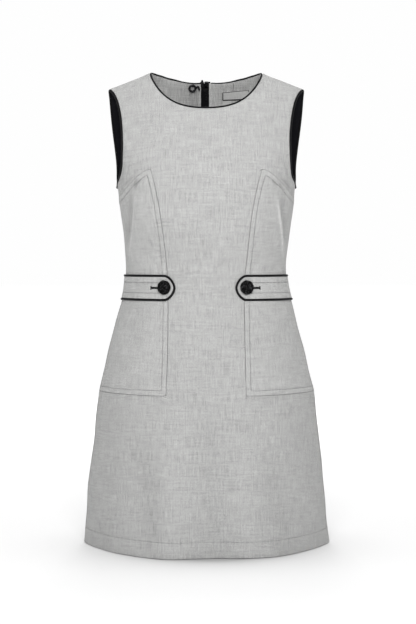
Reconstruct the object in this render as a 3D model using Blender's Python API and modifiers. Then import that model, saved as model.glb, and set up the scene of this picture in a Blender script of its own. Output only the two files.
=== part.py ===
"""A sleeveless shift dress, worn on a general figure and hollow, with piped edges, two
panels set into the front, two buttoned waist tabs and an exposed zip at the centre back.

Units in the tables are millimetres. The origin is between the wearer's shoulders,
+Z is up, the front of the dress faces -Y, and left is at -X."""

import math

import bpy
import bmesh
import numpy as np
from mathutils import Matrix, Vector

MM = 0.001
SHARP_EDGE = math.radians(50.0)

# ---------------------------------------------------------------- driving sizes, mm
CLOTH = 1.4                 # one layer of the woven cloth with its fusing
SEAM_GAP = 0.3              # between neighbouring pieces
HEM_CLOTH = 2.4             # where the hem is turned up
FACING = 1.0
PIPING = 3.0                # diameter of the neck and armhole piping
PANEL_PROUD = 0.4           # the side panels lap over the front by this much

NECK_HALF = 99.7            # half the neck width, at the top of the shoulder seam
NECK_TOP = 12.0             # height of that point
FRONT_NECK_DROP = 65.3
BACK_NECK_DROP = 7.5
NECK_ROUND = 2.3            # how square the neck curve is across
NECK_FLAT = 1.2             # and how it falls
SHOULDER_FALL = 0.376       # drop of the shoulder seam for each mm outward
SHOULDER_HALF = 174.0
ARMHOLE_TIP = -16.0         # the outer end of the shoulder seam
UNDERARM = -187.0
HEM = -830.0
RIDGE = NECK_TOP + SHOULDER_FALL * NECK_HALF    # the shoulder seam carried to the centre

HEM_TURN = 28.0             # depth of the turned-up hem
HEM_STEP = 3.0              # height over which it thins to one layer
POCKET_BOTTOM = -556.0
TAB_MIDDLE = -370.0
TAB_HEIGHT = 42.8           # with its piping
PANEL_PEAK = -163.0
PANEL_SIDE = -211.5
CHEST_ROW = -140.0          # centre front, level with the bottom of the armholes
BACK_CHEST_ROW = -172.0

ZIP_END = -474.0
ZIP_FOOT = -482.0           # where the back pieces meet again
ZIP_OPENING = 4.5           # half the gap between the back pieces along the zip

# Sections of the torso and skirt. The half width and the two depths are from the side
# seams' plane. The cross section is |x/half|^square + |y/depth|^bow = 1.
BODY_COLUMNS = ("height", "half", "front", "back", "square", "bow")
BODY_ROWS = (
    (RIDGE, 205.0, 0.0, 0.0, 2.40, 2.00),
    (47.0, 205.0, 9.0, 9.0, 2.40, 2.00),
    (42.0, 205.0, 17.0, 17.0, 2.40, 2.00),
    (32.0, 205.0, 27.0, 27.0, 2.40, 2.00),
    (18.0, 205.0, 37.0, 38.0, 2.40, 2.00),
    (3.0, 205.0, 45.0, 47.0, 2.40, 2.00),
    (-20.0, 204.0, 54.0, 60.0, 2.40, 2.00),
    (-53.0, 201.0, 65.0, 74.0, 2.40, 2.00),
    (-110.0, 191.0, 88.0, 90.0, 2.40, 2.00),
    (-150.0, 177.0, 104.0, 94.0, 2.40, 2.00),
    (-175.0, 166.0, 112.0, 95.0, 2.40, 2.00),
    (UNDERARM, 161.0, 115.0, 94.5, 2.40, 2.00),
    (-212.0, 157.5, 119.0, 93.0, 2.40, 1.95),
    (-248.0, 152.0, 120.0, 87.0, 2.35, 1.90),
    (-284.0, 147.0, 114.0, 81.0, 2.30, 1.85),
    (-320.0, 144.0, 104.0, 77.0, 2.30, 1.80),
    (-345.0, 143.5, 98.0, 76.0, 2.30, 1.75),
    (-370.0, 146.0, 97.0, 80.0, 2.30, 1.70),
    (-392.0, 151.5, 99.0, 86.0, 2.30, 1.65),
    (-420.0, 160.0, 104.0, 97.0, 2.30, 1.60),
    (-460.0, 170.2, 109.0, 110.0, 2.32, 1.55),
    (-510.0, 182.6, 115.0, 119.0, 2.36, 1.50),
    (-556.0, 192.4, 119.0, 122.0, 2.40, 1.45),
    (-610.0, 200.4, 123.0, 124.0, 2.42, 1.41),
    (-680.0, 207.8, 131.0, 128.0, 2.45, 1.38),
    (-760.0, 216.0, 140.0, 134.0, 2.48, 1.34),
    (HEM, 222.0, 148.0, 141.0, 2.50, 1.30),
)

# The seam between the front and a side panel, and the line that carries it to the hem.
SEAM_COLUMNS = ("height", "across")
SEAM_ROWS = (
    (PANEL_PEAK, 95.6),
    (-184.0, 90.6),
    (-201.0, 85.9),
    (-219.0, 82.4),
    (-239.0, 78.7),
    (-280.0, 73.4),
    (-314.0, 70.3),
    (-345.0, 67.2),
    (-395.0, 65.6),
    (-443.0, 66.2),
    (-496.0, 66.9),
    (POCKET_BOTTOM, 68.7),
    (HEM, 92.0),
)

# The upper edge of a side panel, from its peak to the side seam.
PANEL_TOP_COLUMNS = ("across", "height")
PANEL_TOP_ROWS = (
    (95.6, PANEL_PEAK),
    (107.6, -167.4),
    (117.3, -174.6),
    (128.1, -184.0),
    (136.4, -192.0),
    (144.5, -200.5),
    (152.5, -208.3),
    (158.0, PANEL_SIDE),
)

# The armhole edges as seen from the front.
ARMHOLE_COLUMNS = ("height", "front", "back")
ARMHOLE_ROWS = (
    (ARMHOLE_TIP, SHOULDER_HALF, SHOULDER_HALF),
    (-25.0, 165.0, 173.6),
    (-46.0, 156.0, 172.6),
    (-79.0, 149.5, 170.4),
    (-110.0, 147.2, 167.0),
    (-126.0, 147.0, 165.2),
    (-147.0, 147.2, 163.0),
    (-166.0, 149.2, 161.8),
    (-179.0, 153.6, 161.6),
    (UNDERARM, 161.0, 161.0),
)
ARMHOLE_BEND = {"front": -173.0, "back": -168.0}    # where its floor turns up
FRONT_NECK_BEND = math.radians(48.0)                # along the neck curve, as the armhole's
FRONT_NECK_LEVEL = -48.0                            # armhole height joined to that bend

# Soft flutes of the skirt. They start at `top` and reach `rise` at the hem.
FLUTE_COLUMNS = ("side", "across", "rise", "spread", "top")
FLUTE_GROWTH = 1.3          # above 1 they open faster near the hem
FLUTE_ROWS = (
    (-1, -0.35, 9.0, 0.15, -470.0),
    (-1, 0.08, -6.0, 0.20, -520.0),
    (-1, 0.57, 8.0, 0.14, -490.0),
    (1, -0.52, 9.0, 0.15, -480.0),
    (1, -0.05, -5.0, 0.18, -540.0),
    (1, 0.44, 8.0, 0.16, -500.0),
)

BUST = {"across": 88.0, "height": -232.0, "rise": 9.0, "wide": 50.0, "tall": 55.0}

# How many faces lie across and up each stretch of the cloth.
CENTRE_COLUMNS = 8
SIDE_COLUMNS = 10
FRONT_BEND_COLUMN = 14      # where the armhole's floor turns up
FRONT_NECK_COLUMNS = 7      # along the floor of the neck
BACK_COLUMNS = 12
BACK_BEND_COLUMN = 10
BACK_NECK_COLUMNS = 6
SKIRT_ROWS = 5              # above the turned-up hem
HIP_LEVELS = (-515.0, ZIP_FOOT, ZIP_END, -432.5)
TAB_ROWS = 2
BODICE_ROWS = 6
CHEST_ROWS = 7
YOKE_ROWS = 5
BACK_CHEST_ROWS = 10

TAB = {
    "piping": 2.6,          # diameter
    "tip": 53.2,            # how far the point is from the centre front
    "shoulder": 71.3,       # where the rounding of the end starts
    "point": 1.65,          # 2 is a half round end, less is more pointed
    "thick": 2.0,
    "clear": 0.8,           # over the panel, which curves between its own points
    "piping_lift": 0.4,     # the piping's middle over the tab's
    "rows": 8,
    "columns": 8,           # along the straight part
    "end": 4,               # and in the rounded end
    "end_start": 4.0,       # how far before the rounding these begin
    "side_turn": 0.02,      # the piping starts this far short of the side seam, radians
}
BUTTON = {"across": 71.0, "height": -369.0, "turns": 24, "clear": 0.8}
BUTTON_PROFILE = (          # radius, height
    (0.0, 5.2),
    (5.0, 5.1),
    (8.6, 4.7),
    (10.9, 3.8),
    (11.6, 2.5),
    (11.0, 1.0),
    (9.0, 0.0),
    (0.0, 0.0),
)
LABEL = {"from": 28.0, "to": 78.0, "top": -11.4, "bottom": -26.5, "thick": 0.8, "clear": 0.75}
CARE_LABEL = {"from": 28.0, "to": 45.0, "top": -27.2, "bottom": -52.0, "thick": 0.6}

ZIP = {
    "tape_half": 6.5,
    "tape": 0.8,
    "slot_half": 4.2,       # the tapes part round the slider
    "slot": 11.5,
    "chain_half": 2.4,
    "chain": 1.8,
    "row_gap": 4.0,         # a row of the back nearer than this to an end is left out
}
SLIDER = {
    "half": 3.6,
    "length": 8.6,
    "below_neck": 2.2,
    "inside": 3.2,
    "outside": 1.8,
    "arch_inner": 1.3,
    "arch_outer": 2.5,
    "arch_half": 0.6,
    "arch_sunk": 1.0,
    "rounding": 0.8,
}
PULL = {
    "half": 2.8,
    "length": 25.0,
    "thick": 1.0,
    "bar": 0.6,             # half the bar that passes under the arch
    "window_half": 1.1,
    "window": 3.0,
    "corner": 1.4,
}
NECK_RING = {"across": -26.1, "height": -4.8, "radius": 4.9, "wire": 0.85, "clear": 0.75}
NECK_HOOK = {"wire": 1.6}
NECK_HOOK_BENDS = (         # across from the ring, down
    (0.0, 0.6),
    (2.2, -1.6),
    (4.2, -0.8),
    (5.0, 1.6),
    (5.4, 4.4),
)

# Colours, linear, with roughness and metallic values.
FINISHES = {
    "weave": ((0.54, 0.54, 0.53), 0.85, 0.0),
    "facing": ((0.36, 0.36, 0.355), 0.85, 0.0),
    "black_cloth": ((0.011, 0.011, 0.014), 0.7, 0.0),
    "piping": ((0.008, 0.008, 0.009), 0.5, 0.0),
    "button": ((0.010, 0.010, 0.011), 0.4, 0.0),
    "zip_tape": ((0.010, 0.010, 0.012), 0.8, 0.0),
    "zip_metal": ((0.020, 0.020, 0.022), 0.35, 0.6),
    "label": ((0.42, 0.42, 0.415), 0.6, 0.0),
}


# ---------------------------------------------------------------- tables
def monotone_slopes(at, values):
    """Slopes for a smooth curve through the values that never overshoots them."""
    steps = np.diff(values) / np.diff(at)
    slopes = np.zeros(len(values))
    slopes[0] = steps[0]
    slopes[-1] = steps[-1]
    for k in range(1, len(values) - 1):
        before, after = steps[k - 1], steps[k]
        if before * after > 0:
            slopes[k] = 2.0 * before * after / (before + after)
    return slopes


class Table:
    """Rows with named columns, read between the rows along a smooth curve."""

    def __init__(self, columns, rows):
        values = np.array(sorted(rows), dtype=float)
        self.at = values[:, 0]
        self.values = {name: values[:, k] for k, name in enumerate(columns)}
        self.slopes = {name: monotone_slopes(self.at, self.values[name]) for name in columns}

    def read(self, column, where):
        where = min(max(where, self.at[0]), self.at[-1])
        k = min(int(np.searchsorted(self.at, where, side="right")) - 1, len(self.at) - 2)
        width = self.at[k + 1] - self.at[k]
        t = (where - self.at[k]) / width
        value, slope = self.values[column], self.slopes[column]
        return float(
            (2 * t**3 - 3 * t**2 + 1) * value[k]
            + (t**3 - 2 * t**2 + t) * width * slope[k]
            + (-2 * t**3 + 3 * t**2) * value[k + 1]
            + (t**3 - t**2) * width * slope[k + 1]
        )


body = Table(BODY_COLUMNS, BODY_ROWS)
seam_line = Table(SEAM_COLUMNS, SEAM_ROWS)
panel_top = Table(PANEL_TOP_COLUMNS, PANEL_TOP_ROWS)
armhole = Table(ARMHOLE_COLUMNS, ARMHOLE_ROWS)
flutes = [dict(zip(FLUTE_COLUMNS, row)) for row in FLUTE_ROWS]


# ---------------------------------------------------------------- the worn form
def slope_share(height):
    """How far the rows follow the slope of the shoulders: 1 at the seam, 0 underarm."""
    t = min(max((height - UNDERARM) / (RIDGE - UNDERARM), 0.0), 1.0)
    return t * t * (3.0 - 2.0 * t)


def flute_rise(side, across, height):
    """Outward push of the skirt's flutes at a share of the half width."""
    rise = 0.0
    for flute in flutes:
        top = flute["top"]
        if flute["side"] == side and height < top:
            grown = ((top - height) / (top - HEM)) ** FLUTE_GROWTH
            offset = (across - flute["across"]) / flute["spread"]
            rise += flute["rise"] * grown * math.exp(-offset * offset)
    return rise


def place(turn, height, side):
    """The cloth's outer point. turn is 0 at the centre and 90 degrees at the side seam,
    negative on the left. side is -1 for the front and 1 for the back."""
    half = body.read("half", height)
    depth = body.read("front" if side < 0 else "back", height)
    sine, cosine = abs(math.sin(turn)), max(math.cos(turn), 0.0)
    share = sine ** (2.0 / body.read("square", height))
    inward = cosine ** (2.0 / body.read("bow", height))
    x = math.copysign(half * share, turn)
    out = depth * inward + flute_rise(side, math.copysign(share, turn), height) * inward**0.5
    if side < 0:
        near = (abs(x) - BUST["across"]) / BUST["wide"]
        level = (height - BUST["height"]) / BUST["tall"]
        out += BUST["rise"] * math.exp(-near * near - level * level) * cosine
    z = height - SHOULDER_FALL * abs(x) * slope_share(height)
    return np.array((x, side * out, z))


def level_of(x, z):
    """The row height that passes through a point seen from the front."""
    height = z
    for _ in range(60):
        height = z + SHOULDER_FALL * abs(x) * slope_share(height)
    return min(height, RIDGE)


def turn_of(x, height):
    share = min(abs(x) / body.read("half", height), 1.0)
    return math.copysign(math.asin(share ** (body.read("square", height) / 2.0)), x)


def find(x, z):
    """Turn and row height of a point seen from the front."""
    height = level_of(x, z)
    return turn_of(x, height), height


class Girth:
    """Length of cloth up the centre line, so that rows are even over the shoulder too."""

    def __init__(self, side):
        self.heights = np.linspace(HEM, RIDGE, 1600)
        column = "front" if side < 0 else "back"
        depths = np.array([body.read(column, h) for h in self.heights])
        steps = np.hypot(np.diff(self.heights), np.diff(depths))
        self.lengths = np.concatenate(([0.0], np.cumsum(steps)))

    def length(self, height):
        return float(np.interp(height, self.heights, self.lengths))

    def height(self, length):
        return float(np.interp(length, self.lengths, self.heights))


def evenly(pairs, side, count):
    """Resample (turn, height) pairs into count equal lengths of cloth."""
    points = np.array([place(turn, height, side) for turn, height in pairs])
    lengths = np.concatenate(([0.0], np.cumsum(np.linalg.norm(np.diff(points, axis=0), axis=1))))
    wanted = np.linspace(0.0, lengths[-1], count + 1)
    turns = np.interp(wanted, lengths, [pair[0] for pair in pairs])
    heights = np.interp(wanted, lengths, [pair[1] for pair in pairs])
    return list(zip(turns, heights))


def armhole_stretch(side, low, high, count):
    """Even steps along an armhole edge between two heights."""
    column = "front" if side < 0 else "back"
    pairs = []
    for z in np.linspace(low, high, 200):
        pairs.append(find(armhole.read(column, z), z))
    if high == ARMHOLE_TIP:
        pairs[-1] = (turn_of(SHOULDER_HALF, RIDGE), RIDGE)
    if low == UNDERARM:
        pairs[0] = (math.pi / 2, UNDERARM)
    return evenly(pairs, side, count)


def neck_stretch(side, low, high, count):
    """Even steps along the neck edge between two angles, 0 at the centre."""
    drop = FRONT_NECK_DROP if side < 0 else BACK_NECK_DROP
    pairs = []
    for angle in np.linspace(low, high, 200):
        x = NECK_HALF * math.sin(angle) ** (2.0 / NECK_ROUND)
        pairs.append(find(x, NECK_TOP - drop * max(math.cos(angle), 0.0) ** NECK_FLAT))
    if high > math.pi / 2 - 1e-6:
        pairs[-1] = (turn_of(NECK_HALF, RIDGE), RIDGE)
    return evenly(pairs, side, count)


def shoulder_stretch(side, count):
    pairs = []
    for x in np.linspace(NECK_HALF, SHOULDER_HALF, 60):
        pairs.append((turn_of(x, RIDGE), RIDGE))
    return evenly(pairs, side, count)


# ---------------------------------------------------------------- grids of cloth
def level_rows():
    """Heights at the side seam of the rows from the hem to the panels' upper edge."""
    rows = [HEM, HEM + HEM_TURN]
    rows += list(np.linspace(HEM + HEM_TURN + HEM_STEP, POCKET_BOTTOM, SKIRT_ROWS + 1))
    tab_low, tab_high = TAB_MIDDLE - TAB_HEIGHT / 2, TAB_MIDDLE + TAB_HEIGHT / 2
    rows += HIP_LEVELS
    rows += list(np.linspace(tab_low, tab_high, TAB_ROWS + 1))
    return rows


def centre_back(height):
    """How far the centre back edge stands from the middle."""
    return ZIP_OPENING if height > ZIP_END - 1.0 else 0.0


def front_row(seam_height, heights):
    """Turns of a front row whose seam is at seam_height, with a height for each column."""
    across = seam_line.read("across", seam_height)
    seam_turn = turn_of(across, seam_height)
    row = []
    for column, height in enumerate(heights):
        if column <= CENTRE_COLUMNS:
            turn = turn_of(across * column / CENTRE_COLUMNS, height)
        else:
            share = (column - CENTRE_COLUMNS) / SIDE_COLUMNS
            turn = seam_turn + share * (math.pi / 2 - seam_turn)
        row.append((turn, height))
    return row


def front_levels():
    """Rows of the right half of the front up to the panel's upper edge."""
    count = CENTRE_COLUMNS + SIDE_COLUMNS
    levels = level_rows()
    rows = [front_row(level, [level] * (count + 1)) for level in levels]
    top_heights = [PANEL_PEAK] * (CENTRE_COLUMNS + 1)
    seam_turn = turn_of(seam_line.read("across", PANEL_PEAK), PANEL_PEAK)
    for column in range(CENTRE_COLUMNS + 1, count + 1):
        share = (column - CENTRE_COLUMNS) / SIDE_COLUMNS
        turn = seam_turn + share * (math.pi / 2 - seam_turn)
        height = PANEL_PEAK
        for _ in range(30):
            height = panel_top.read("height", place(turn, height, -1)[0])
        top_heights.append(height)
    top_heights[-1] = PANEL_SIDE
    low = levels[-1]
    for step in range(1, BODICE_ROWS + 1):
        share = step / BODICE_ROWS
        heights = [low + share * (top - low) for top in top_heights]
        rows.append(front_row(heights[CENTRE_COLUMNS], heights))
    return rows


def back_levels():
    """Rows of the right half of the back up to the foot of the armhole's side seam."""
    levels = level_rows()
    levels += list(np.linspace(levels[-1], PANEL_SIDE, BODICE_ROWS + 1))[1:]
    rows = []
    for level in levels:
        start = turn_of(centre_back(level), level)
        turns = np.linspace(start, math.pi / 2, BACK_COLUMNS + 1)
        rows.append([(turn, level) for turn in turns])
    return rows


def chest_foot(side, below, bend_column, columns, centre_height):
    """The row at the armhole's floor: up the body to the bend, then along the floor."""
    bend_height = ARMHOLE_BEND["front" if side < 0 else "back"]
    floor = armhole_stretch(side, UNDERARM, bend_height, columns - bend_column)
    bend_turn, bend_row = floor[-1]
    row = []
    for column in range(bend_column):
        share = column / bend_column
        turn = below[column][0] * bend_turn / below[bend_column][0]
        row.append((turn, centre_height + (bend_row - centre_height) * share**2.2))
    row += floor[::-1]
    return row


def blend(side, bottom, top, left, right):
    """Rows of a patch between four edges, each a list of (turn, height) pairs."""
    girth = Girth(side)
    lines = []
    for line in (bottom, top, left, right):
        lines.append(np.array([(turn, girth.length(height)) for turn, height in line]))
    bottom, top, left, right = lines
    across, up = len(bottom) - 1, len(left) - 1
    rows = []
    for i in range(1, up + 1):
        v = i / up
        row = []
        for j in range(across + 1):
            u = j / across
            point = (1 - v) * bottom[j] + v * top[j] + (1 - u) * left[i] + u * right[i]
            point = point - (1 - u) * ((1 - v) * bottom[0] + v * top[0])
            point = point - u * ((1 - v) * bottom[-1] + v * top[-1])
            row.append((point[0], girth.height(point[1])))
        rows.append(row)
    return rows


def straight(side, start, end, count):
    """Pairs in even steps of cloth between two pairs."""
    girth = Girth(side)
    turns = np.linspace(start[0], end[0], count + 1)
    lengths = np.linspace(girth.length(start[1]), girth.length(end[1]), count + 1)
    return [(turn, girth.height(length)) for turn, length in zip(turns, lengths)]


def front_grid():
    """(turn, height) for each row and column of the right half, None where no cloth is."""
    rows = front_levels()
    bend, neck, columns = FRONT_BEND_COLUMN, FRONT_NECK_COLUMNS, CENTRE_COLUMNS + SIDE_COLUMNS
    foot = chest_foot(-1, rows[-1], bend, columns, CHEST_ROW)
    floor = neck_stretch(-1, 0.0, FRONT_NECK_BEND, neck)
    low_edge = armhole_stretch(-1, ARMHOLE_BEND["front"], FRONT_NECK_LEVEL, CHEST_ROWS)
    high_edge = armhole_stretch(-1, FRONT_NECK_LEVEL, ARMHOLE_TIP, YOKE_ROWS)
    yoke = straight(-1, floor[-1], low_edge[-1], bend - neck)
    centre = straight(-1, foot[0], floor[0], CHEST_ROWS)
    rows.append(foot)
    for row in blend(-1, foot[: bend + 1], floor + yoke[1:], centre, low_edge):
        rows.append(row + [None] * (columns - bend))
    neck_side = neck_stretch(-1, FRONT_NECK_BEND, math.pi / 2, YOKE_ROWS)
    for row in blend(-1, yoke, shoulder_stretch(-1, bend - neck), neck_side, high_edge):
        rows.append([None] * neck + row + [None] * (columns - bend))
    return rows


def back_grid():
    """The same for the right half of the back."""
    rows = back_levels()
    bend, neck, columns = BACK_BEND_COLUMN, BACK_NECK_COLUMNS, BACK_COLUMNS
    foot = chest_foot(1, rows[-1], bend, columns, BACK_CHEST_ROW)
    first = math.asin((ZIP_OPENING / NECK_HALF) ** (NECK_ROUND / 2.0))
    top = neck_stretch(1, first, math.pi / 2, neck) + shoulder_stretch(1, bend - neck)[1:]
    edge = armhole_stretch(1, ARMHOLE_BEND["back"], ARMHOLE_TIP, BACK_CHEST_ROWS)
    centre = straight(1, foot[0], top[0], BACK_CHEST_ROWS)
    rows.append(foot)
    for row in blend(1, foot[: bend + 1], top, centre, edge):
        rows.append(row + [None] * (columns - bend))
    return rows


class Sheet:
    """A grid of outer points with their normals. Its cells are the faces between them."""

    def __init__(self, points, outward):
        self.points = points
        self.there = ~np.isnan(points[:, :, 0])
        there = self.there
        self.cells = there[:-1, :-1] & there[1:, :-1] & there[:-1, 1:] & there[1:, 1:]
        self.normals = self.make_normals(outward)
        self.piped = np.zeros(there.shape, bool)
        self.free = np.zeros(there.shape, bool)
        self.parting = np.zeros(there.shape, bool)
        self.side = 0

    def make_normals(self, outward):
        normals = np.zeros(self.points.shape)
        for i, j in zip(*np.nonzero(self.cells)):
            corners = self.points[[i, i, i + 1, i + 1], [j, j + 1, j + 1, j]]
            facing = np.cross(corners[2] - corners[0], corners[3] - corners[1])
            normals[[i, i, i + 1, i + 1], [j, j + 1, j + 1, j]] += facing
        sizes = np.linalg.norm(normals, axis=2, keepdims=True)
        normals = normals / np.where(sizes > 0, sizes, 1.0)
        if np.nansum(normals * outward) < 0:
            normals = -normals
        return normals

    def level_normals(self, which, axis):
        """Turn the normals on a seam square to an axis, the same on both its sides."""
        self.normals[which, axis] = 0.0
        sizes = np.linalg.norm(self.normals[which], axis=-1, keepdims=True)
        self.normals[which] = self.normals[which] / sizes


def front_sheet():
    """The whole front, left to right."""
    half = front_grid()
    columns = len(half[0]) - 1
    points = np.full((len(half), 2 * columns + 1, 3), np.nan)
    for i, row in enumerate(half):
        for j, pair in enumerate(row):
            if pair is not None:
                points[i, columns + j] = place(pair[0], pair[1], -1)
                points[i, columns - j] = place(-pair[0], pair[1], -1)
    sheet = Sheet(points, np.array((0.0, -1.0, 0.0)))
    sheet.middle = columns
    sheet.foot = len(half) - 1 - CHEST_ROWS - YOKE_ROWS
    sheet.neck = len(half) - 1 - YOKE_ROWS
    neck, bend = FRONT_NECK_COLUMNS, FRONT_BEND_COLUMN
    sheet.piped[sheet.neck, columns - neck: columns + neck + 1] = True
    for sign in (-1, 1):
        sheet.piped[sheet.neck:, columns + sign * neck] = True
        sheet.piped[sheet.foot:, columns + sign * bend] = True
        floor = [columns + sign * j for j in range(bend, columns + 1)]
        sheet.piped[sheet.foot, floor] = True
    finish_sheet(sheet, [0, 2 * columns], -1)
    return sheet


def back_sheet(sign):
    """One half of the back, from the centre back to the side seam."""
    half = back_grid()
    columns = len(half[0]) - 1
    points = np.full((len(half), columns + 1, 3), np.nan)
    for i, row in enumerate(half):
        for j, pair in enumerate(row):
            if pair is not None:
                points[i, j] = place(sign * max(pair[0], 1e-9), pair[1], 1)
    sheet = Sheet(points, np.array((0.0, 1.0, 0.0)))
    sheet.foot = len(half) - 1 - BACK_CHEST_ROWS
    sheet.levels = [row[0][1] for row in half]
    sheet.piped[-1, : BACK_NECK_COLUMNS + 1] = True
    sheet.piped[sheet.foot:, BACK_BEND_COLUMN] = True
    sheet.piped[sheet.foot, BACK_BEND_COLUMN:] = True
    sheet.free[:, 0] = np.array(sheet.levels) > ZIP_END - 1.0
    finish_sheet(sheet, [columns], 1)
    return sheet


def finish_sheet(sheet, side_columns, side):
    """Shared rules at the hem, and at the side and shoulder seams, which lie on y = 0."""
    sheet.side = side
    sheet.free[0, :] = True
    which = np.zeros(sheet.there.shape, bool)
    which[:, side_columns] = True
    which[-1, :] = True
    on_plane = np.abs(np.nan_to_num(sheet.points[:, :, 1], nan=99.0)) < 0.01
    sheet.parting = which & on_plane & sheet.there
    sheet.level_normals(sheet.parting, 1)


# ---------------------------------------------------------------- making solids
def finish_of(name):
    material = bpy.data.materials.get(name)
    if material is None:
        colour, roughness, metallic = FINISHES[name]
        material = bpy.data.materials.new(name)
        material.use_nodes = True
        shader = material.node_tree.nodes["Principled BSDF"]
        shader.inputs["Base Color"].default_value = (*colour, 1.0)
        shader.inputs["Roughness"].default_value = roughness
        shader.inputs["Metallic"].default_value = metallic
        material.diffuse_color = (*colour, 1.0)
    return material


def add_object(name, data, finish, collection="shift_dress"):
    """An object that has a material of its own."""
    thing = bpy.data.objects.new(name, data)
    bpy.data.collections[collection].objects.link(thing)
    if finish:
        own = finish_of(finish).copy()
        own.name = name
        data.materials.clear()
        data.materials.append(own)
    return thing


def boundary_shifts(sheet, cells, seam, piped, free):
    """In-surface moves that open the seams: each boundary edge moves in by its own gap."""
    edges = {}
    for i, j in zip(*np.nonzero(cells)):
        ring = [(i, j), (i, j + 1), (i + 1, j + 1), (i + 1, j)]
        middle = sum(sheet.points[corner] for corner in ring) / 4.0
        for a, b in zip(ring, ring[1:] + ring[:1]):
            edges.setdefault(frozenset((a, b)), []).append((a, b, middle))
    pulls = {}
    for sides in edges.values():
        if len(sides) > 1:
            continue
        a, b, middle = sides[0]
        along = sheet.points[b] - sheet.points[a]
        along = along / np.linalg.norm(along)
        inward = middle - (sheet.points[a] + sheet.points[b]) / 2.0
        inward = inward - along * np.dot(inward, along)
        inward = inward / np.linalg.norm(inward)
        gap = seam
        if sheet.piped[a] and sheet.piped[b]:
            gap = piped
        elif sheet.free[a] and sheet.free[b]:
            gap = free
        for corner in (a, b):
            pulls.setdefault(corner, []).append((inward, gap))
    shifts = {}
    for corner, pull in pulls.items():
        inwards = np.array([inward for inward, _ in pull])
        gaps = np.array([gap for _, gap in pull])
        shift = np.linalg.lstsq(inwards, gaps, rcond=0.15)[0]
        if sheet.parting[corner]:
            shift[1] = sheet.side * seam
        shifts[corner] = shift
    return shifts, [sides[0][:2] for sides in edges.values() if len(sides) == 1]


def wall(name, sheet, cells, finish, lift=0.0, thick=CLOTH, seam=SEAM_GAP / 2,
         piped=PIPING / 2 + SEAM_GAP, free=0.0, thick_rows=None):
    """A wall of cloth over some cells of a sheet: outer layer, inner layer and edges."""
    shifts, border = boundary_shifts(sheet, cells, seam, piped, free)
    mesh = bmesh.new()
    outer, inner = {}, {}
    for i, j in zip(*np.nonzero(cells)):
        for corner in ((i, j), (i, j + 1), (i + 1, j + 1), (i + 1, j)):
            if corner in outer:
                continue
            normal = sheet.normals[corner]
            depth = thick_rows[corner[0]] if thick_rows is not None else thick
            point = sheet.points[corner] + shifts.get(corner, 0.0) + normal * lift
            outer[corner] = mesh.verts.new(Vector(point * MM))
            inner[corner] = mesh.verts.new(Vector((point - normal * depth) * MM))
    for i, j in zip(*np.nonzero(cells)):
        low, across, top, up = (i, j), (i, j + 1), (i + 1, j + 1), (i + 1, j)
        for corners in ((low, across, top), (low, top, up)):    # one diagonal for all layers
            mesh.faces.new([outer[corner] for corner in corners])
            mesh.faces.new([inner[corner] for corner in reversed(corners)])
    for a, b in border:
        mesh.faces.new((outer[b], outer[a], inner[a], inner[b]))
    bmesh.ops.recalc_face_normals(mesh, faces=mesh.faces)
    data = bpy.data.meshes.new(name)
    mesh.to_mesh(data)
    mesh.free()
    data.shade_smooth()
    data.set_sharp_from_angle(angle=SHARP_EDGE)
    return add_object(name, data, finish)


def tube(name, points, diameter, finish, cyclic=False):
    """A round cord through points given in mm."""
    curve = bpy.data.curves.new(name, "CURVE")
    curve.dimensions = "3D"
    curve.bevel_depth = diameter / 2 * MM
    curve.bevel_resolution = 2
    curve.use_fill_caps = not cyclic
    spline = curve.splines.new("POLY")
    spline.points.add(len(points) - 1)
    for target, point in zip(spline.points, points):
        target.co = (*(np.array(point) * MM), 1.0)
    spline.use_cyclic_u = cyclic
    return add_object(name, curve, finish)


def outline(name, loops, half_thick):
    """A flat plate from closed loops in its own XY plane, the later loops being holes."""
    curve = bpy.data.curves.new(name, "CURVE")
    curve.dimensions = "2D"
    curve.fill_mode = "BOTH"
    curve.extrude = half_thick * MM
    for loop in loops:
        spline = curve.splines.new("POLY")
        spline.points.add(len(loop) - 1)
        for target, (x, y) in zip(spline.points, loop):
            target.co = (x * MM, y * MM, 0.0, 1.0)
        spline.use_cyclic_u = True
    return curve


def curve_to_mesh(curve, name):
    """The welded mesh of a curve, so that it can be cut or joined."""
    carrier = bpy.data.objects.new(name + "_outline", curve)
    bpy.context.scene.collection.objects.link(carrier)
    bpy.context.view_layer.update()
    evaluated = carrier.evaluated_get(bpy.context.evaluated_depsgraph_get())
    data = bpy.data.meshes.new_from_object(evaluated)
    data.name = name
    bpy.data.objects.remove(carrier)
    mesh = bmesh.new()
    mesh.from_mesh(data)
    bmesh.ops.remove_doubles(mesh, verts=mesh.verts, dist=1e-6)
    bmesh.ops.recalc_face_normals(mesh, faces=mesh.faces)
    mesh.to_mesh(data)
    mesh.free()
    return data


# ---------------------------------------------------------------- the cloth pieces
def make_front(sheet):
    """The front and the two side panels, which share the rows and columns of one sheet."""
    middle = sheet.middle
    levels = len(level_rows())
    low = levels - 2 - TAB_ROWS - len(HIP_LEVELS)
    high = levels - 1 + BODICE_ROWS
    thick = np.full(sheet.there.shape[0], CLOTH)
    thick[:2] = HEM_CLOTH
    centre = sheet.cells.copy()
    for name, first, last in (
        ("side_panel_left", 0, middle - CENTRE_COLUMNS),
        ("side_panel_right", middle + CENTRE_COLUMNS, 2 * middle),
    ):
        panel = np.zeros(sheet.cells.shape, bool)
        panel[low:high, first:last] = True
        centre &= ~panel
        wall(name, sheet, panel, "weave", lift=PANEL_PROUD)
    wall("front", sheet, centre, "weave", thick_rows=thick)


def make_back(name, sheet):
    thick = np.full(sheet.there.shape[0], CLOTH)
    thick[:2] = HEM_CLOTH
    wall(name, sheet, sheet.cells, "weave", thick_rows=thick)


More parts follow.
